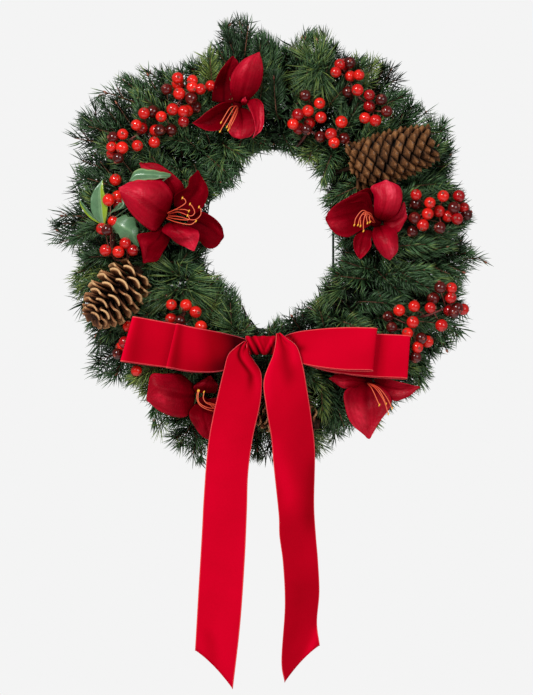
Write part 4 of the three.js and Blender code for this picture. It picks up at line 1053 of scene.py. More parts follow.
def closed_scale(shape, root, out, along, wide, size, tone):
    """A scale of a closed cone: a steep, ridged, four-cornered boss with a grey point, over a gap that is
    dark with painted shade.
    """
    ring = turns(BOSS_SIDES)
    corner = 1 / (np.abs(np.cos(ring)) + np.abs(np.sin(ring)))
    half_wide, half_long = size
    points, tones = [], []
    for spread_out, lift, shade in BOSS_LEVELS:
        flat = wide * (np.cos(ring) * corner * half_wide * spread_out)[:, None]
        flat = flat + along * (np.sin(ring) * corner * half_long * spread_out)[:, None]
        points.append(root + flat + out * lift + along * max(0, lift) * 0.35)
        tones.append(np.full(BOSS_SIDES, shade * tone if shade < 1 else 1.0))
    under, peak = root - out * 6, root + out * 8.4 + along * 3.0
    tones.append([0.0, 0.98])
    points = np.concatenate([*points, [under, peak]])
    shape.add(points, closed_faces(len(BOSS_LEVELS), BOSS_SIDES), np.concatenate(tones))


def base_scale(shape, base, along, out):
    """A flared, ragged scale at the base of the closed cone."""
    reach = 32 + 4 * RANDOM.random()
    root = base + along * RANDOM.uniform(-5, 8)
    tip = root + out * reach - along * RANDOM.uniform(0, 7)
    path = np.array([root + out * 8, (root + tip) / 2 + along * 2, tip])
    wide = unit(np.cross(along, out))
    half = np.array([3.0, 5.2, 3.4])[:, None]
    grid = np.stack([path - wide * half, path + along * 1.2, path + wide * half], 1)
    tone = np.tile(np.linspace(0.15, 0.8, 8)[:, None], (1, 3)) * RANDOM.uniform(0.7, 1.0)
    sheet_of(shape, spline(grid, 8), 2.4, tone)


def make_closed_cone():
    """The ripe closed cone on the right: staggered rows of rhombic scales and a flared, ragged base."""
    shape = Shape()
    base, along, length, side, front = cone_axis(CLOSED_BASE, CLOSED_END)
    shares = np.linspace(-0.04, 1.0, 16)
    core = base + along * (shares * length)[:, None]
    # The core is painted near black: painted shade seen in the gaps between the scales.
    tube(shape, core, closed_girth(shares) - 3, 14, 0.03)
    for row in range(CLOSED_ROWS):
        share = 0.04 + 0.94 * row / (CLOSED_ROWS - 1)
        for index in range(CLOSED_AROUND):
            turn = (index + (row % 2) / 2) / CLOSED_AROUND * FULL_TURN + row * 0.06
            out = heading(turn, side, front)
            out = unit(out + along * 0.35 * (share - 0.2) + RANDOM.normal(0, 0.03, 3))
            wide = unit(np.cross(along, out))
            reach = closed_girth(share)
            root = base + along * share * length + out * (reach - 2)
            size = (math.pi * reach / CLOSED_AROUND * 1.04, length / CLOSED_ROWS * 1.06)
            closed_scale(shape, root, out, along, wide, size, RANDOM.uniform(0.62, 1.05))
    for index in range(BASE_SCALES):
        base_scale(shape, base, along, heading(index / BASE_SCALES * FULL_TURN, side, front))
    cone_stalk(shape, (INNER_RING, 45), base + along * 12)
    shape.build("cone_right", [CLOSED_CONE], "cone_scales")
    shield.cover(shape)


def open_scale(shape, root, out, along, reach, width, curl, tone):
    """A woody scale of an open cone: narrow at the core, wide at a thick pale lip that turns back."""
    wide = unit(np.cross(along, out))
    share = np.linspace(0, 1, 8)
    across = np.linspace(-1, 1, 7)[None]
    path = root + out * (share * reach)[:, None] + along * (0.34 * share * reach)[:, None]
    path = path - along * (curl * share**3)[:, None]
    profile = width / 2 * (0.32 + 0.68 * np.sin(math.pi * (0.08 + 0.62 * share**1.2)))
    share = share[:, None]
    round_off = np.sqrt(np.maximum(0, 1 - (np.abs(across) ** 2.5) * (share > 0.99) * 0.6))
    grid = path[:, None] + wide * (across * profile[:, None])[..., None]
    hollow = 0.18 * width * across**2 * share
    grid = grid + along * hollow[..., None]
    grid = grid - out * ((1 - round_off) * 5)[..., None]
    rim = np.maximum(share**7, np.abs(across) ** 5 * share)
    # painted shade deepens towards the core; the pale lip is the scale's own colour
    tones = np.clip(tone * (0.05 + 0.62 * share**1.5 + 0.38 * rim), 0, 1)
    sheet_of(shape, grid, 2.3, tones)


def make_open_cone(name, start, end, girth, scales, anchor):
    """An open cone. Its scales go round in a spiral, long and splayed at the base, short at the point."""
    shape = Shape()
    base, along, length, side, front = cone_axis(start, end)
    shares = np.linspace(-0.03, 1.04, 12)
    tube(shape, base + along * (shares * length)[:, None], 7.5 - 4 * np.clip(shares, 0, 1), 10, 0.1)
    for scale in range(scales):
        share = 0.02 + 0.98 * scale / (scales - 1)
        out = heading(scale * GOLDEN_TURN, side, front)
        swell = math.sin(math.pi * (0.24 + 0.62 * share))
        lean = unit(out + along * (0.7 * share**2 - 0.04))
        root = base + along * share * length + out * 3
        width = OPEN_SCALE_WIDTH * (0.45 + 0.55 * swell)
        tone = RANDOM.uniform(0.8, 1.0)
        open_scale(shape, root, lean, along, (girth - 2) * swell, width, 4 + 3 * share, tone)
    cone_stalk(shape, anchor, base + along * 8)
    shape.build(name, [OPEN_CONE], "cone_scales")
    shield.cover(shape)


# ---------------------------------------------------------------- holly

# Each leaf: its stations, as a petal has them, with how spiny its edge is and how lime.
HOLLY_LEAVES = [
    ([(100, 223, 76, 103, 225, 76, 105, 224, 76), (93, 215, 80, 100, 214, 78, 107.4, 211, 84),
      (90.5, 203, 82, 99, 203, 80, 106.3, 201, 86), (93, 192, 82, 99, 191, 81, 103.5, 190, 85),
      (102.7, 179, 81)], 0.5, 0.9),
    ([(100, 222, 74, 101, 223, 74, 102, 225, 74), (90, 212, 76, 90, 215, 72, 90, 218, 75),
      (82.5, 203, 76, 82, 205, 72, 81.5, 207.5, 75), (79, 198.5, 72)], 0.2, 1.0),
    ([(112, 224, 78, 114, 221, 78, 117, 218, 78), (118, 235, 82, 122, 226, 85, 129, 216, 81),
      (127, 239, 83, 130, 231, 86, 137, 226, 82), (132, 243, 82, 135, 239, 84, 138, 236, 82),
      (139.3, 247.5, 81)], 2.2, 0.3),
    ([(171, 174, 90, 171, 175.5, 91, 170, 177, 92), (160, 171.5, 96, 160, 175, 100, 160, 178.5, 100),
      (148, 169.5, 98, 148, 174.5, 103, 148, 180, 101), (136, 170, 97, 136, 175, 101, 136, 180.5, 100),
      (129, 181.5, 99)], 1.2, 0.7),
    ([(106, 220, 76, 107, 218, 76, 108, 216, 76), (110, 214, 80, 112, 211, 80, 114, 209, 80),
      (117, 209, 82, 118, 206, 82, 118, 203, 82), (122, 203, 82)], 0.4, 0.5),
    ([(107, 214, 77, 108, 213, 77, 109, 212, 77), (119, 210, 80, 121, 208, 82, 120, 204, 80),
      (126, 206, 80, 124, 203, 82, 122, 199, 80), (120, 194, 78)], 0.3, 0.2),
]
HOLLY_HUB = (105, 225, 66)  # where the leaves' own stalks meet
HOLLY_FOOT = (OUTER_RING, 168)
LEAF_ROWS = 34
LEAF_COLUMNS = 11


def leaf_grid(lines, spine):
    """A leaf folded along its rib, its edge cut into teeth and curled between them."""
    along = np.linspace(0, 1, LEAF_ROWS)
    across = np.linspace(-1, 1, LEAF_COLUMNS)
    teeth = 1 + 0.16 * spine * (np.abs(np.sin(along * math.pi * 4)) - 0.5) * (along < 0.96)
    left = lines[:, 1] + (lines[:, 0] - lines[:, 1]) * teeth[:, None]
    right = lines[:, 1] + (lines[:, 2] - lines[:, 1]) * teeth[:, None]
    u = across[None, :, None]
    rib = lines[:, 1][:, None]
    grid = rib * (1 - np.abs(u)) + left[:, None] * np.maximum(0, -u) + right[:, None] * np.maximum(0, u)
    grid[..., 1] += 1.2 * np.abs(np.sin(along * 12))[:, None] * across[None] ** 2
    return grid


def leaf_tone(lime):
    """Green, paler along the rib and lime at the edges; the limest leaf has one lime half."""
    across = np.linspace(-1, 1, LEAF_COLUMNS)
    edge = np.clip((np.abs(across) - (0.9 - 0.28 * lime)) * 6, 0, 1)
    if lime > 0.8:
        edge = np.clip((across - 0.15) * 4, 0, 1)
    vein = 0.14 * (np.abs(across) < 0.1)
    return np.tile(np.clip(0.34 + vein + 0.6 * edge * lime, 0, 1), (LEAF_ROWS, 1))


def make_holly():
    shape = Shape()
    hub = place(*HOLLY_HUB)
    tube(shape, wired_route(polar(*HOLLY_FOOT, -SEAT), 20, 16, hub, 20), 1.8, 7, 0.4)
    for outline, spine, lime in HOLLY_LEAVES:
        stations = stations_of(outline)
        stations[-1] = stations[-1] + (stations[-2] - stations[-1]) * 0.06
        lines = spline(stations, LEAF_ROWS)
        sheet_of(shape, leaf_grid(lines, spine), 0.7, leaf_tone(lime))
        middle = (lines[0, 1] + hub) / 2 + [0, -1, 0]
        tube(shape, spline([hub, middle, lines[1, 1]], 8), 1.1, 6, 0.5)
    shape.build("holly_sprig", [HOLLY], "holly_leaf")
    shield.cover(shape)


# ---------------------------------------------------------------- bow

KNOT = np.array([-8.0, -107.0, -142.6])
KNOT_HALF = (21.5, 15.0, 11.6)
LOOP_ROWS, TAIL_ROWS, RIBBON_COLUMNS = 64, 110, 31
CUT_BOW = 5.0  # how far the slanting cut of a tail's end is hollow

# A shading band is (from along, from across, to along, to across, width, how light or dark): painted
# shade in a valley or a cast shadow, or a painted highlight on a ridge.
# Each loop: its top and bottom edges from the knot to its far end, how deep its two layers lie, how far
# its back layer sags below the front one, its painted light and shade from the knot to the far end, how
# much painted light or shade the fold at its far end has, and its shading bands.
LOOPS = {
    "left_rear": {
        "top": [(249, 341), (226, 334), (196, 327.5), (160, 321), (135.8, 316.6)],
        "bottom": [(249, 350), (230, 364), (204, 371), (160, 366.5), (124.8, 361.6)],
        "depth": (100, 92), "sag": 0.8, "tone": (0.2, 0.32, 0.38, 0.38), "fold": 0.7, "shading_bands": [],
    },
    "left_front": {
        "top": [(250, 341), (236, 336), (214, 331), (192, 327), (178.3, 323.6)],
        "bottom": [(250, 349), (240, 362), (222, 371), (194, 371.8), (169.2, 367.8)],
        "depth": (115, 105), "sag": 1.0, "fold": 0.8,
        "tone": (-0.2, -0.35, -0.4, -0.16, -0.02, 0.36, 0.38, 0.16, 0.14),
        "shading_bands": [(0.2, 0.5, 0.62, 0.95, 0.55, -0.26)],
    },
    "right_front": {
        "top": [(276, 340), (294, 332.5), (318, 329), (345, 327.2), (373.6, 327.6)],
        "bottom": [(276, 349), (291, 359), (308, 365), (340, 369.5), (369.2, 370.2)],
        "depth": (115, 105), "sag": 1.6, "tone": (0.5, 0.58, 0.61), "fold": -0.06,
        "shading_bands": [(0.12, -1.15, 0.3, 0.15, 0.24, -0.8), (0.4, 0.5, 0.6, 0.7, 0.5, 0.06)],
    },
    "right_rear": {
        "top": [(276, 341), (300, 333), (335, 331.5), (372, 333.5), (406.0, 335.0)],
        "bottom": [(276, 350), (300, 362), (330, 371.5), (370, 376.4), (403.0, 378.0)],
        "depth": (100, 91), "sag": 1.4, "tone": (0.3, 0.5, 0.6, 0.64), "fold": 0.1,
        "shading_bands": [(0.74, -1.0, 0.72, 1.0, 1.6, -0.3)],
    },
}
# Each tail: its two edges from the knot to its cut end, how deep it hangs, its painted light and shade down
# its length, the phase of its wave, and its shading bands.
TAILS = {
    "left": {
        "one": [(244.5, 341), (236, 347), (228, 355), (224, 369), (219.6, 387), (212, 421), (207.2, 452),
                (203.6, 499.5), (202, 530), (198.4, 590), (195, 650.5)],
        "other": [(248.2, 342.5), (249.4, 354), (254.4, 361.6), (261.4, 375), (260.4, 402), (252.6, 439),
                  (248.2, 473.5), (247, 510), (244.8, 560), (240.2, 625), (232.8, 689.4)],
        "depth": [119, 121, 121, 119, 115, 110, 106, 103, 101, 100, 99],
        "tone": [0.4, 0.5, 0.56, 0.6, 0.62, 0.62, 0.62], "phase": 1,
        "shading_bands": [(0.015, -0.55, 0.1, 0.4, 0.16, -0.68), (0.02, -0.1, 0.12, 0.75, 0.2, 0.2),
                    (0.02, 1.0, 0.07, 1.0, 0.3, -0.45), (0.93, -0.3, 0.99, -0.1, 0.35, -0.18)],
    },
    "right": {
        "one": [(276.4, 333.5), (275.6, 343), (272.6, 356), (263.8, 381), (266.4, 408), (271.4, 439),
                (273.4, 464), (278.6, 514), (279.4, 536), (283, 564), (284.8, 606), (281.4, 660),
                (284.6, 682.7)],
        "other": [(280, 332.8), (287, 338.6), (297, 347), (303, 366), (307, 389), (311.8, 421), (315, 452),
                  (314.2, 504), (316, 536), (318, 560), (319.4, 592), (317, 622), (319.8, 645.5)],
        "depth": [121, 123, 122, 119, 115, 111, 107, 104, 102, 101, 100, 99, 99],
        "tone": [0.6, 0.56, 0.36, 0.3, 0.3, 0.26, 0.26, 0.26], "phase": 3,
        "shading_bands": [(0.0, -0.8, 0.14, -0.85, 0.25, 0.25), (0.04, -0.1, 0.13, 0.25, 0.3, -0.4),
                    (0.02, 0.75, 0.09, 0.6, 0.3, 0.2), (0.34, -0.9, 0.48, -0.3, 0.5, 0.28),
                    (0.44, 0.9, 0.56, 0.7, 0.4, -0.26), (0.78, 0.2, 0.88, 0.0, 0.9, -0.1),
                    (0.96, 1.0, 1.0, 0.3, 0.45, 0.45)],
    },
}


def loop_edges(loop):
    """A loop's two edges: out along the back layer, round its far end and back in front."""
    front, back = loop["depth"]
    middle = (front + back) / 2
    count = len(loop["top"])
    stations = []
    for layer, depth in ((-1, back), (1, front)):
        order = range(count) if layer < 0 else range(count - 1, -1, -1)
        for k in order:
            share = k / (count - 1)
            fullness = 0.55 if k == count - 1 else min(1.0, 0.35 + 1.6 * share)
            at = middle + (depth - middle) * fullness
            drop = loop["sag"] * share if layer < 0 else 0
            top, bottom = loop["top"][k], loop["bottom"][k]
            stations.append([(top[0], top[1] + drop, at), (bottom[0], bottom[1] + drop, at)])
    return spline(np.array([places(station) for station in stations]), LOOP_ROWS)


def ribbon_grid(edges, gather, pleats, depth):
    """Points across a ribbon between its two edges, thrown into pleats where it is gathered."""
    half = RIBBON_EDGE / RIBBON_WIDTH
    inner = np.linspace(0, 1, RIBBON_COLUMNS)[1:-1]
    across = np.concatenate([[0, half], inner, [1 - half, 1]])
    u = across[None, :, None]
    grid = edges[:, 0][:, None] * (1 - u) + edges[:, 1][:, None] * u
    grid[..., 1] += np.sin(across * math.pi * pleats)[None] * gather[:, None] * depth
    return grid


def toned_along(share, tones):
    """A tone that runs through these ones from nought to one."""
    return np.interp(share, np.linspace(0, 1, len(tones)), tones)


def band_shading(along, across, shading_bands):
    """How much painted light or shade soft bands put on a ribbon."""
    total = np.zeros(np.broadcast_shapes(np.shape(along), np.shape(across)))
    for start, beside, stop, beside_stop, width, amount in shading_bands:
        share = np.clip((along - start) / (stop - start), 0, 1)
        middle = beside + (beside_stop - beside) * share
        low, high = min(start, stop), max(start, stop)
        past = (along - np.clip(along, low, high)) / max(0.02, 0.4 * (high - low))
        total += amount * np.exp(-(((across - middle) / width) ** 2) - past**2)
    return total


def dress_ribbon(name, grid, tone, node):
    """One length of ribbon. In a valley its tone may be below nought."""
    shape = Shape()
    # The tone carries painted light and shade: lit folds and ridges, shaded gathers and valleys, and
    # painted shadows.
    sheet_of(shape, grid, RIBBON_THICK, np.clip(0.3 + 0.7 * tone, 0, 1), edged=True)
    piece = shape.build(node, [VELVET, SELVAGE], "ribbon", name)
    shield.cover(shape)


def make_loop(name, loop):
    """A loop, gathered at the knot, with a slow wave and painted light on the fold at its far end."""
    along = np.linspace(0, 1, LOOP_ROWS)
    gather = hump(np.minimum(along, 1 - along), 0.085)
    grid = ribbon_grid(loop_edges(loop), gather, 5, 2.4)
    across = np.linspace(-1, 1, grid.shape[1])[None]
    out = (1 - np.abs(2 * along - 1))[:, None]
    grid[..., 1] += 1.6 * np.sin(out * 5 + across * 1.3) * out * (1 - out) * 2
    # Painted light on the fold at the far end, with a band of painted shade just inside it.
    lit_fold = hump(1 - out, 0.1) - 0.35 * hump(0.83 - out, 0.06)
    tone = toned_along(out, loop["tone"]) + loop["fold"] * lit_fold + band_shading(out, across, loop["shading_bands"])
    # Painted shade in the pleats where the loop is gathered at the knot.
    tone = tone - 0.16 * gather[:, None] * np.cos(across * math.pi * 2.5) ** 2
    tone = tone + 0.05 * np.sin(across * 2.5 + out * 4)
    dress_ribbon(f"bow_{name}_ribbon", grid, tone, f"bow_loop_{name}")


def make_tail(side, tail):
    """A tail that leaves the knot gathered, opens out and hangs with a slow wave and a slanting end.

    Its shading bands paint shade or light all down it; near the knot above all they also push it back into
    valleys where dark and forward into ridges where light.
    """
    edges = [
        places([(*pixel, depth) for pixel, depth in zip(tail[edge], tail["depth"])])
        for edge in ("one", "other")
    ]
    edges = spline(np.stack(edges, 1), TAIL_ROWS)
    along = np.linspace(0, 1, TAIL_ROWS)
    drop = np.linalg.norm(np.diff(edges.mean(1), axis=0), axis=1)
    down = np.concatenate([[0], np.cumsum(drop)]) / drop.sum()
    grid = ribbon_grid(edges, hump(down, 0.05), 4, 2.6)
    across = np.linspace(-1, 1, grid.shape[1])[None]
    folds = band_shading(down[:, None], across, tail["shading_bands"])
    wave = 2.2 * np.sin(down * 9 + tail["phase"]) * np.minimum(1, down * 4)
    cup = 2.5 * across**2 * hump(down - 0.2, 0.16)[:, None]
    grid[..., 1] += wave[:, None] + cup - 4.5 * folds * np.exp(-down * 3)[:, None]
    grid[..., 2] += CUT_BOW * (1 - across**2) * np.clip((along - 0.9) * 10, 0, 1)[:, None]
    # The tail's tone is its painted light and shade down its length and along its bands.
    tone = toned_along(down, tail["tone"])[:, None] + folds + 0.03 * np.sin(across * 3 + down[:, None] * 8)
    dress_ribbon(f"bow_tail_{side}_ribbon", grid, tone, f"bow_tail_{side}")


def make_knot():
    """The band round the middle. Its gathers slant in from both ends and meet in a V low in front."""
    turn = np.linspace(math.pi, 3 * math.pi, 65)[:, None]
    share = np.linspace(-1, 1, 77)[None]
    height = np.sin(turn)
    beside = np.abs(share - 0.08) - (0.02 + 0.26 * (height + 1))
    fold = 0.5 + 0.5 * np.cos(2 * math.pi * beside / (0.5 + 0.06 * np.sign(share)))
    fold = np.where(beside < -0.12, np.maximum(fold, 0.55), fold)
    wrinkle = 0.12 * np.sin(19 * share + 4 * height) * np.cos(6 * share)
    swell = (0.8 + 0.14 * np.cos(share * math.pi) ** 2) * (0.84 + 0.24 * fold + 0.3 * wrinkle)
    half_x, half_y, half_z = KNOT_HALF
    x = KNOT[0] + half_x * share + 1.2 * height * np.sign(share) * np.abs(share) ** 3
    y = KNOT[1] - half_y * np.cos(turn) * swell
    z = KNOT[2] + half_z * height * (0.92 + 0.12 * fold)
    # Painted light on the gathers' ridges, painted shade in their hollows and towards the knot's bottom,
    # and painted light and shade on the wrinkles.
    tone = (0.8 - 0.2 * (1 - height)) * fold - 0.36 * (1 - fold) * (1.1 - 0.5 * height) + wrinkle
    grid = np.stack([x, y, z], -1)
    dress_ribbon("bow_knot_ribbon", grid, tone, "bow_knot")


# ---------------------------------------------------------------- frame

def make_frame():
    """Two rings joined by ties, with the upright stay that shows at the right of the hole."""
    shape = Shape()
    for radius in (OUTER_RING, INNER_RING):
        tube(shape, np.array([polar(radius, degrees) for degrees in np.linspace(0, 360, 121)]), WIRE, 10)
    for tie in range(TIES):
        degrees = (tie + 0.5) * 360 / TIES
        tube(shape, spline([polar(INNER_RING, degrees), polar(OUTER_RING, degrees)], 4), WIRE * 0.8, 8)
    reach = math.sqrt(INNER_RING**2 - STAY_X**2)
    tube(shape, spline([(STAY_X, 0, -reach), (STAY_X, 0, reach)], 6), STAY_RADIUS, 8)
    shape.build("wire_frame", [WIRE_ENAMEL], "frame_wire")


def make_tie_wire():
    shape = Shape()
    behind_knot = KNOT + [0, KNOT_HALF[1] + 0.3, 0]
    tube(shape, wired_route(polar(INNER_RING, 266, -SEAT), 24, 24, behind_knot, 20), 1.4, 8)
    shape.build("bow_tie_wire", [WIRE_ENAMEL], "tie_wire")


# ---------------------------------------------------------------- foliage

# How each kind of sprig carries its needles: their length, how many to the millimetre, their slant from
# the stem in degrees, how flat the sprig is, and half a needle's width.
STYLES = {
    "spruce": {"length": 20, "density": 0.95, "slant": 50, "flat": 0.7, "half": 0.7},
    "fir": {"length": 23, "density": 0.85, "slant": 58, "flat": 0.35, "half": 0.72},
    "comb": {"length": 25, "density": 0.6, "slant": 56, "flat": 0.22, "half": 0.75},
    "pine": {"length": 46, "density": 0.6, "slant": 26, "flat": 1.0, "half": 0.52},
    "under": {"length": 25, "density": 0.75, "slant": 58, "flat": 0.7, "half": 1.5},
}
# Places where young, yellow-green growth shows, as (px, py, radius in pixels).
FRESH = [
    (177, 157, 16), (207, 66, 9), (278, 121, 12), (310, 150, 13), (343, 172, 10), (481, 266, 13),
    (84, 274, 15), (145, 383, 11), (358, 283, 12), (367, 80, 10),
]
# Tufts of long pine needles: where each is rooted and where its needles point.
PINE_TUFTS = [
    ((318, 66, 58), (324, 40, 66)), ((318, 68, 60), (330, 98, 84)), ((318, 70, 60), (298, 78, 78)),
    ((318, 70, 60), (306, 92, 80)), ((318, 66, 58), (304, 50, 70)),
    ((186, 288, 62), (214, 300, 80)), ((176, 290, 62), (150, 306, 76)), ((186, 280, 62), (210, 274, 80)),
    ((180, 276, 62), (160, 266, 74)), ((182, 292, 62), (194, 312, 78)),
    ((330, 292, 56), (300, 312, 70)), ((345, 288, 56), (325, 300, 74)), ((236, 150, 50), (238, 172, 50)),
    ((225, 152, 52), (214, 172, 62)), ((402, 130, 52), (452, 124, 40)), ((430, 180, 46), (456, 172, 38)),
    ((282, 342, 40), (273, 316, 36)), ((242, 338, 40), (245, 318, 36)), ((300, 430, 52), (318, 440, 54)),
    ((160, 425, 56), (146, 432, 46)), ((236, 330, 62), (224, 322, 70)), ((358, 140, 62), (366, 150, 70)),
    ((118, 372, 46), (104, 392, 36)), ((176, 440, 52), (168, 462, 44)), ((428, 110, 50), (446, 96, 40)),
    ((100, 130, 50), (82, 118, 40)), ((376, 250, 52), (392, 262, 60)), ((96, 360, 46), (80, 366, 36)),
]
YOUNG = 0.73  # tone of the needles of young growth
COMB_LIFT = 0.24  # how much paler the flat combs of the outer fronds are
BACK_REACH = 15.5  # foliage is pressed flat against the door this far behind the rings' plane
BUD_SHARE = 0.2  # of the sprigs that end in a bud
NEEDLE_BEND = 0.16  # how far a needle's tip is drawn along its twig, as a share of its length
KNEED = 8  # twigs lie this far in front of the rings' plane where their needles have a knee
TWIG_STEP = 5  # between stations of a twig's path
TWIG_TIP = 0.55
FROND_STATIONS = 50
MIDDLE_RADIUS = 290  # where a bough's sector is compared with the outline
REST = -4.5  # where the boughs lie on the rings
FRONT_ROWS = (136, 148, 162, 178, 194, 210, 226, 242)  # radii where twigs rise to the front


def needle_mesh(shape, base, way, bend, length, half, tone, knee):
    """Slim three-sided needles, all at once; those with a knee bend there and thin out."""
    count = len(base)
    side = unit(np.cross(way, [0.31, 0.83, 0.46]))
    ring = circles(np.array([0, 2, 4]) * math.pi / 3, side, np.cross(way, side))
    tip = base + way * length[:, None] + bend * (length * NEEDLE_BEND)[:, None]
    low = base[:, None] + ring * (half * 0.8)[:, None, None]
    step, after = np.arange(3), np.array([1, 2, 0])
    if knee:
        mid = (base + way * (length * 0.6)[:, None])[:, None] + ring * half[:, None, None]
        points = np.concatenate([low, mid, tip[:, None]], 1)
        faces = [
            np.stack([step, after, after + 3], 1), np.stack([step, after + 3, step + 3], 1),
            np.stack([step + 3, after + 3, np.full(3, 6)], 1), [[0, 2, 1]],
        ]
        rise = [-0.14] * 3 + [0.0] * 3 + [0.14]
    else:
        points = np.concatenate([low, tip[:, None]], 1)
        faces = [np.stack([step, after, np.full(3, 3)], 1), [[0, 2, 1]]]
        rise = [-0.1] * 3 + [0.1]
    triangles = np.concatenate(faces)[None] + (np.arange(count) * len(rise))[:, None, None]
    shape.add(points, triangles, np.clip(tone[:, None] + np.array(rise), 0, 1).ravel())


def beyond_outline(points, margin, slack=0.0):
    """Whether the camera sees each point past the wreath's outline, or in its hole."""
    px, py, _ = pixel_of(points)
    across = (px - RING_PIXEL[0]) * PIXEL
    up = (RING_PIXEL[1] - py) * PIXEL
    radius = np.hypot(across, up)
    degrees = np.degrees(np.arctan2(up, across))
    outside = radius > read_round(OUTLINE, degrees) - margin + slack
    return outside | (radius < read_round(HOLE_EDGE, degrees) + margin + slack)


def fresh_at(point):
    px, py, _ = pixel_of(point)
    return any(math.hypot(px - x, py - y) < size for x, y, size in FRESH)


def clear_stretch(path, margin):
    """The part of a twig's path up to where it would cover something or leave the outline."""
    blocked = shield.hides(path, 4) | beyond_outline(path, margin)
    blocked[:4] = shield.hides(path[:4], 4)
    if blocked.any():
        path = path[: int(np.argmax(blocked))]
    return path


def grow_needles(path, kind, bare):
    """Needles in a spiral round a twig, that lean less towards its tip, and a crown of them there.

    They come as their roots, the twig's way there, their own ways and their lengths.
    """
    tangents, side, other = frames_along(path)
    number = length_of(path) * kind["density"]
    crown = max(6, int(number / 8))
    share = np.concatenate([np.linspace(bare, 0.97, int(number)), np.ones(crown)])
    share = np.clip(share + RANDOM.normal(0, 0.006, len(share)), bare, 1)
    count = len(share)
    at = share * (len(path) - 1)
    low = np.minimum(at.astype(int), len(path) - 2)
    part = (at - low)[:, None]
    base = path[low] * (1 - part) + path[low + 1] * part
    tangent = unit(tangents[low] * (1 - part) + tangents[low + 1] * part)
    turn = np.arange(count) * GOLDEN_TURN + RANDOM.normal(0, 0.2, count)
    radial = np.cos(turn)[:, None] * side[low] + np.sin(turn)[:, None] * other[low]
    radial[:, 1] *= kind["flat"]
    radial = unit(radial)
    slant = np.radians(kind["slant"] + RANDOM.normal(0, 5, count)) * (1 - 0.5 * share**5)
    slant[-crown:] = np.radians(RANDOM.uniform(4, 40, crown))
    way = unit(tangent * np.cos(slant)[:, None] + radial * np.sin(slant)[:, None])
    reach = kind["length"] * RANDOM.uniform(0.82, 1.1, count) * (1 - 0.2 * share**4)
    return base, tangent, way, reach


def press_flat(base, tangent, way, reach):
    """Turn the ways of needles that would reach back past the door."""
    room = (BACK_REACH - base[:, 1] - reach * NEEDLE_BEND * np.maximum(tangent[:, 1], 0)) / reach
    back = np.clip(np.minimum(way[:, 1], room), -1, 1)
    flat = np.hypot(way[:, 0], way[:, 2])
    way[:, [0, 2]] *= (np.sqrt(1 - back**2) / np.maximum(flat, 1e-6))[:, None]
    way[:, 1] = back


def needle_tones(path, base, style, plain):
    """Painted light in front and painted shade further back, lighter low on the wreath, with a few painted
    glints; young growth is lightest.
    """
    if plain is None:
        young = fresh_at(path[-1]) or fresh_at(path[len(path) * 4 // 5])
        plain = YOUNG if young else RANDOM.uniform(0.16, 0.52)
    if style == "comb":
        plain += COMB_LIFT
    low_down = np.clip((-base[:, 2] - 160) / 80, 0, 1) * 0.16
    # painted shade on needles further back in the wreath, painted light on those in front
    shade = np.clip((-base[:, 1] - 44) / 70, -0.3, 0.24) * 0.7
    # painted glints on a few needles
    glint = np.where(RANDOM.random(len(base)) < 0.1, 0.22, 0.0)
    return plain + shade + low_down + RANDOM.normal(0, 0.09, len(base)) + glint


def add_bud(shape, path):
    end = path[-1]
    ahead = unit(np.gradient(path, axis=0))[-1]
    bud = np.array([end - ahead * 1.5, end + ahead, end + ahead * 4])
    if not shield.hides(bud, 3).any():
        tube(shape, bud, [1.0, 1.7, 0.5], 5, RANDOM.random(), 2)


def sprig(shape, points, style, bare=0.1, thick=1.1, plain=None):
    """One needled twig along a route: its bark, its needles and now and then a bud at its tip.

    Its needles begin at the share `bare` of its length. Their tone is `plain`, or else is drawn.
    """
    kind = STYLES[style]
    rough = np.asarray(points, float)
    stations = max(6, int(length_of(rough) / TWIG_STEP))
    path = clear_stretch(spline(rough, stations), kind["length"] * 0.42)
    if len(path) < 4:
        return
    tube(shape, path, np.linspace(thick, TWIG_TIP, len(path)), 5, RANDOM.uniform(0.2, 0.7), 1)
    base, tangent, way, reach = grow_needles(path, kind, bare)
    press_flat(base, tangent, way, reach)
    half = kind["half"] * RANDOM.uniform(0.85, 1.15, len(base))
    tone = needle_tones(path, base, style, plain)
    keep = ~beyond_outline(base + way * reach[:, None], 0, RANDOM.normal(2.6, 3.4, len(base)))
    for along in (0.3, 0.6, 1.0):
        keep &= ~shield.hides(base + way * (reach * along)[:, None], 2.5)
    if keep.any():
        parts = (base[keep], way[keep], tangent[keep], reach[keep], half[keep], tone[keep])
        needle_mesh(shape, *parts, style != "under" and path[:, 1].mean() < -KNEED)
    if style != "under" and RANDOM.random() < BUD_SHARE:
        add_bud(shape, path)


def frond(shape, points, style, side_reach):
    """A flat branch with side twigs that alternate along it and shorten towards its tip."""
    sprig(shape, points, style, thick=1.5)
    path = spline(points, FROND_STATIONS)
    tangents = unit(np.gradient(path, axis=0))
    apart = 24 if style == "comb" else 14
    for k, share in enumerate(np.arange(0.3, 0.94, apart / length_of(path))):
        at = int(share * (FROND_STATIONS - 1))
        ahead = tangents[at]
        across = unit(np.cross(ahead, [0, 1, 0])) * (1 if k % 2 else -1)
        reach = side_reach * (1.1 - 0.75 * share) * RANDOM.uniform(0.85, 1.15)
        way = heading(math.radians(RANDOM.normal(43, 5)), ahead, across) + [0, RANDOM.normal(0, 0.12), 0]
        root, tip = path[at], path[at] + way * reach
        sprig(shape, [root, (root + tip) / 2 + ahead * 1.5, tip], style, 0.05, 0.8)


def uneven(size):
    return RANDOM.uniform(-size, size)


def pick_style():
    return ("fir", "spruce", "fir")[RANDOM.integers(0, 3)]


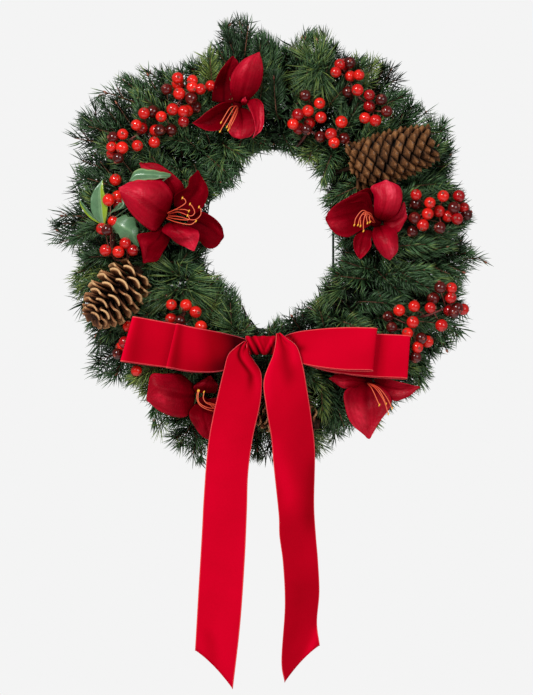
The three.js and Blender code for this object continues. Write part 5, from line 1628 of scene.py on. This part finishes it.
class Bough:
    """One bough's sector of the wreath, and the mesh that its twigs are gathered in."""

    def __init__(self, index):
        self.index = index
        self.shape = Shape()
        middle = self.angle(MIDDLE_RADIUS)
        self.airy = 105 < middle % 360 < 250
        self.outer = float(read_round(OUTLINE, middle))
        self.inner = float(read_round(HOLE_EDGE, self.angle(100)))

    def angle(self, radius):
        """The middle of the sector at a radius, in degrees."""
        return 90 + (self.index + 0.5) * 360 / BOUGHS + math.degrees(SWIRL) * (radius - OUTER_RING)

    def on(self, radius, y, aside=0.0):
        """A place at a radius, this far aside of the sector's middle."""
        return polar(radius, self.angle(radius) + math.degrees(aside / radius), y)

    def holds(self, degrees, radius):
        """Whether an angle falls in the sector as it lies at a radius."""
        return abs((degrees - self.angle(radius) + 180) % 360 - 180) <= HALF_SECTOR

    def main_stem(self):
        route = [self.on(134, REST), self.on(206, REST), self.on(232, -22), self.on(self.outer - 20, -42)]
        sprig(self.shape, route, "spruce", thick=1.9)

    def outer_fronds(self):
        """A frond to each tip and dip of the outline."""
        for degrees, radius in OUTLINE:
            if self.holds(degrees, MIDDLE_RADIUS):
                y = RANDOM.uniform(-46, -12)
                start = self.on(200, REST - 2, uneven(8))
                tip = polar(radius - 12, degrees + uneven(1.5), y)
                style = "comb" if self.airy or RANDOM.random() < 0.4 else pick_style()
                frond(self.shape, [start, (start + tip) / 2 - [0, 5, 0], tip], style, 36)

    def back_twigs(self):
        for y in (3, 8):
            aside = uneven(18)
            far = self.outer - RANDOM.uniform(22, 40)
            route = [self.on(158, REST + 2), self.on(205, y, aside * 0.5), self.on(far, y, aside)]
            sprig(self.shape, route, "fir", bare=0.05)

    def hole_twigs(self):
        """Short twigs that reach in to the edge of the hole."""
        for aside, y in ((-12, -44), (10, -30), (0, -58), (4, -6)):
            tip = self.on(self.inner + 13, y + uneven(8), aside + uneven(4))
            route = [self.on(156, REST), self.on(134, y * 0.6, aside * 0.6), tip]
            sprig(self.shape, route, pick_style(), bare=0.08)

    def front_twigs(self):
        """Twigs that rise to the front and turn aside, with gaps left at the airy outside."""
        for radius in FRONT_ROWS:
            for side in (-1, 1):
                if RANDOM.random() < (0.6 if self.airy and radius > 220 else 0.18):
                    continue
                y = -RANDOM.uniform(50, 76) if radius < 220 else -RANDOM.uniform(38, 58)
                degrees = self.angle(radius) + side * RANDOM.uniform(4, 42) + (180 if radius < 145 else 0)
                root = self.on(radius, -8, side * 6)
                rise = self.on(radius, y * 0.85, side * RANDOM.uniform(4, 20))
                tip = rise + polar(RANDOM.uniform(36, 50), degrees, y * 0.15)
                sprig(self.shape, [root, rise, tip], pick_style(), bare=0.4)

    def underlayer(self):
        """Dark twigs between the others, that close the wreath to the light; their near-black tone is
        painted shade.
        """
        for radius in np.arange(self.inner + 18, self.outer - 56, 9):
            for part in (-0.9, 0.0, 0.9):
                aside = (part + uneven(0.3)) * radius * math.pi / BOUGHS
                start = self.on(radius, -RANDOM.uniform(-4, 16), aside)
                degrees = self.angle(radius) + RANDOM.uniform(-100, 100)
                tip = start + polar(34, degrees, -RANDOM.uniform(0, 10))
                # tone 0.03: painted shade inside the wreath
                sprig(self.shape, [start, (start + tip) / 2, tip], "under", 0.0, 0.9, 0.03)

    def pine_tufts(self):
        for root, end in PINE_TUFTS:
            start, stop = place(*root), place(*end)
            if self.holds(math.degrees(math.atan2(start[2], start[0])), 200):
                back = start * [1, 0, 1] * 0.97 + [0, -10, 0]
                sprig(self.shape, [back, start, start + (stop - start) * 0.35], "pine", 0.45, plain=0.55)


def make_bough(index):
    """A bough: fronds that reach the outline, shorter twigs in front and inside, and an underlayer."""
    bough = Bough(index)
    bough.main_stem()
    bough.outer_fronds()
    bough.back_twigs()
    bough.hole_twigs()
    bough.front_twigs()
    bough.underlayer()
    bough.pine_tufts()
    bough.shape.build(f"bough_{index + 1:02d}", [NEEDLE, BARK, BUD], "foliage")


make_frame()
make_tie_wire()
for bloom_name, bloom_parts in BLOOMS.items():
    make_bloom(bloom_name, *bloom_parts)
for spray_name, spray_parts in SPRAYS.items():
    make_spray(spray_name, spray_parts)
make_closed_cone()
for cone_name, cone_parts in OPEN_CONES.items():
    make_open_cone(cone_name, *cone_parts)
make_holly()
for loop_name, loop_parts in LOOPS.items():
    make_loop(loop_name, loop_parts)
for tail_name, tail_parts in TAILS.items():
    make_tail(tail_name, tail_parts)
make_knot()
for bough_index in range(BOUGHS):
    make_bough(bough_index)
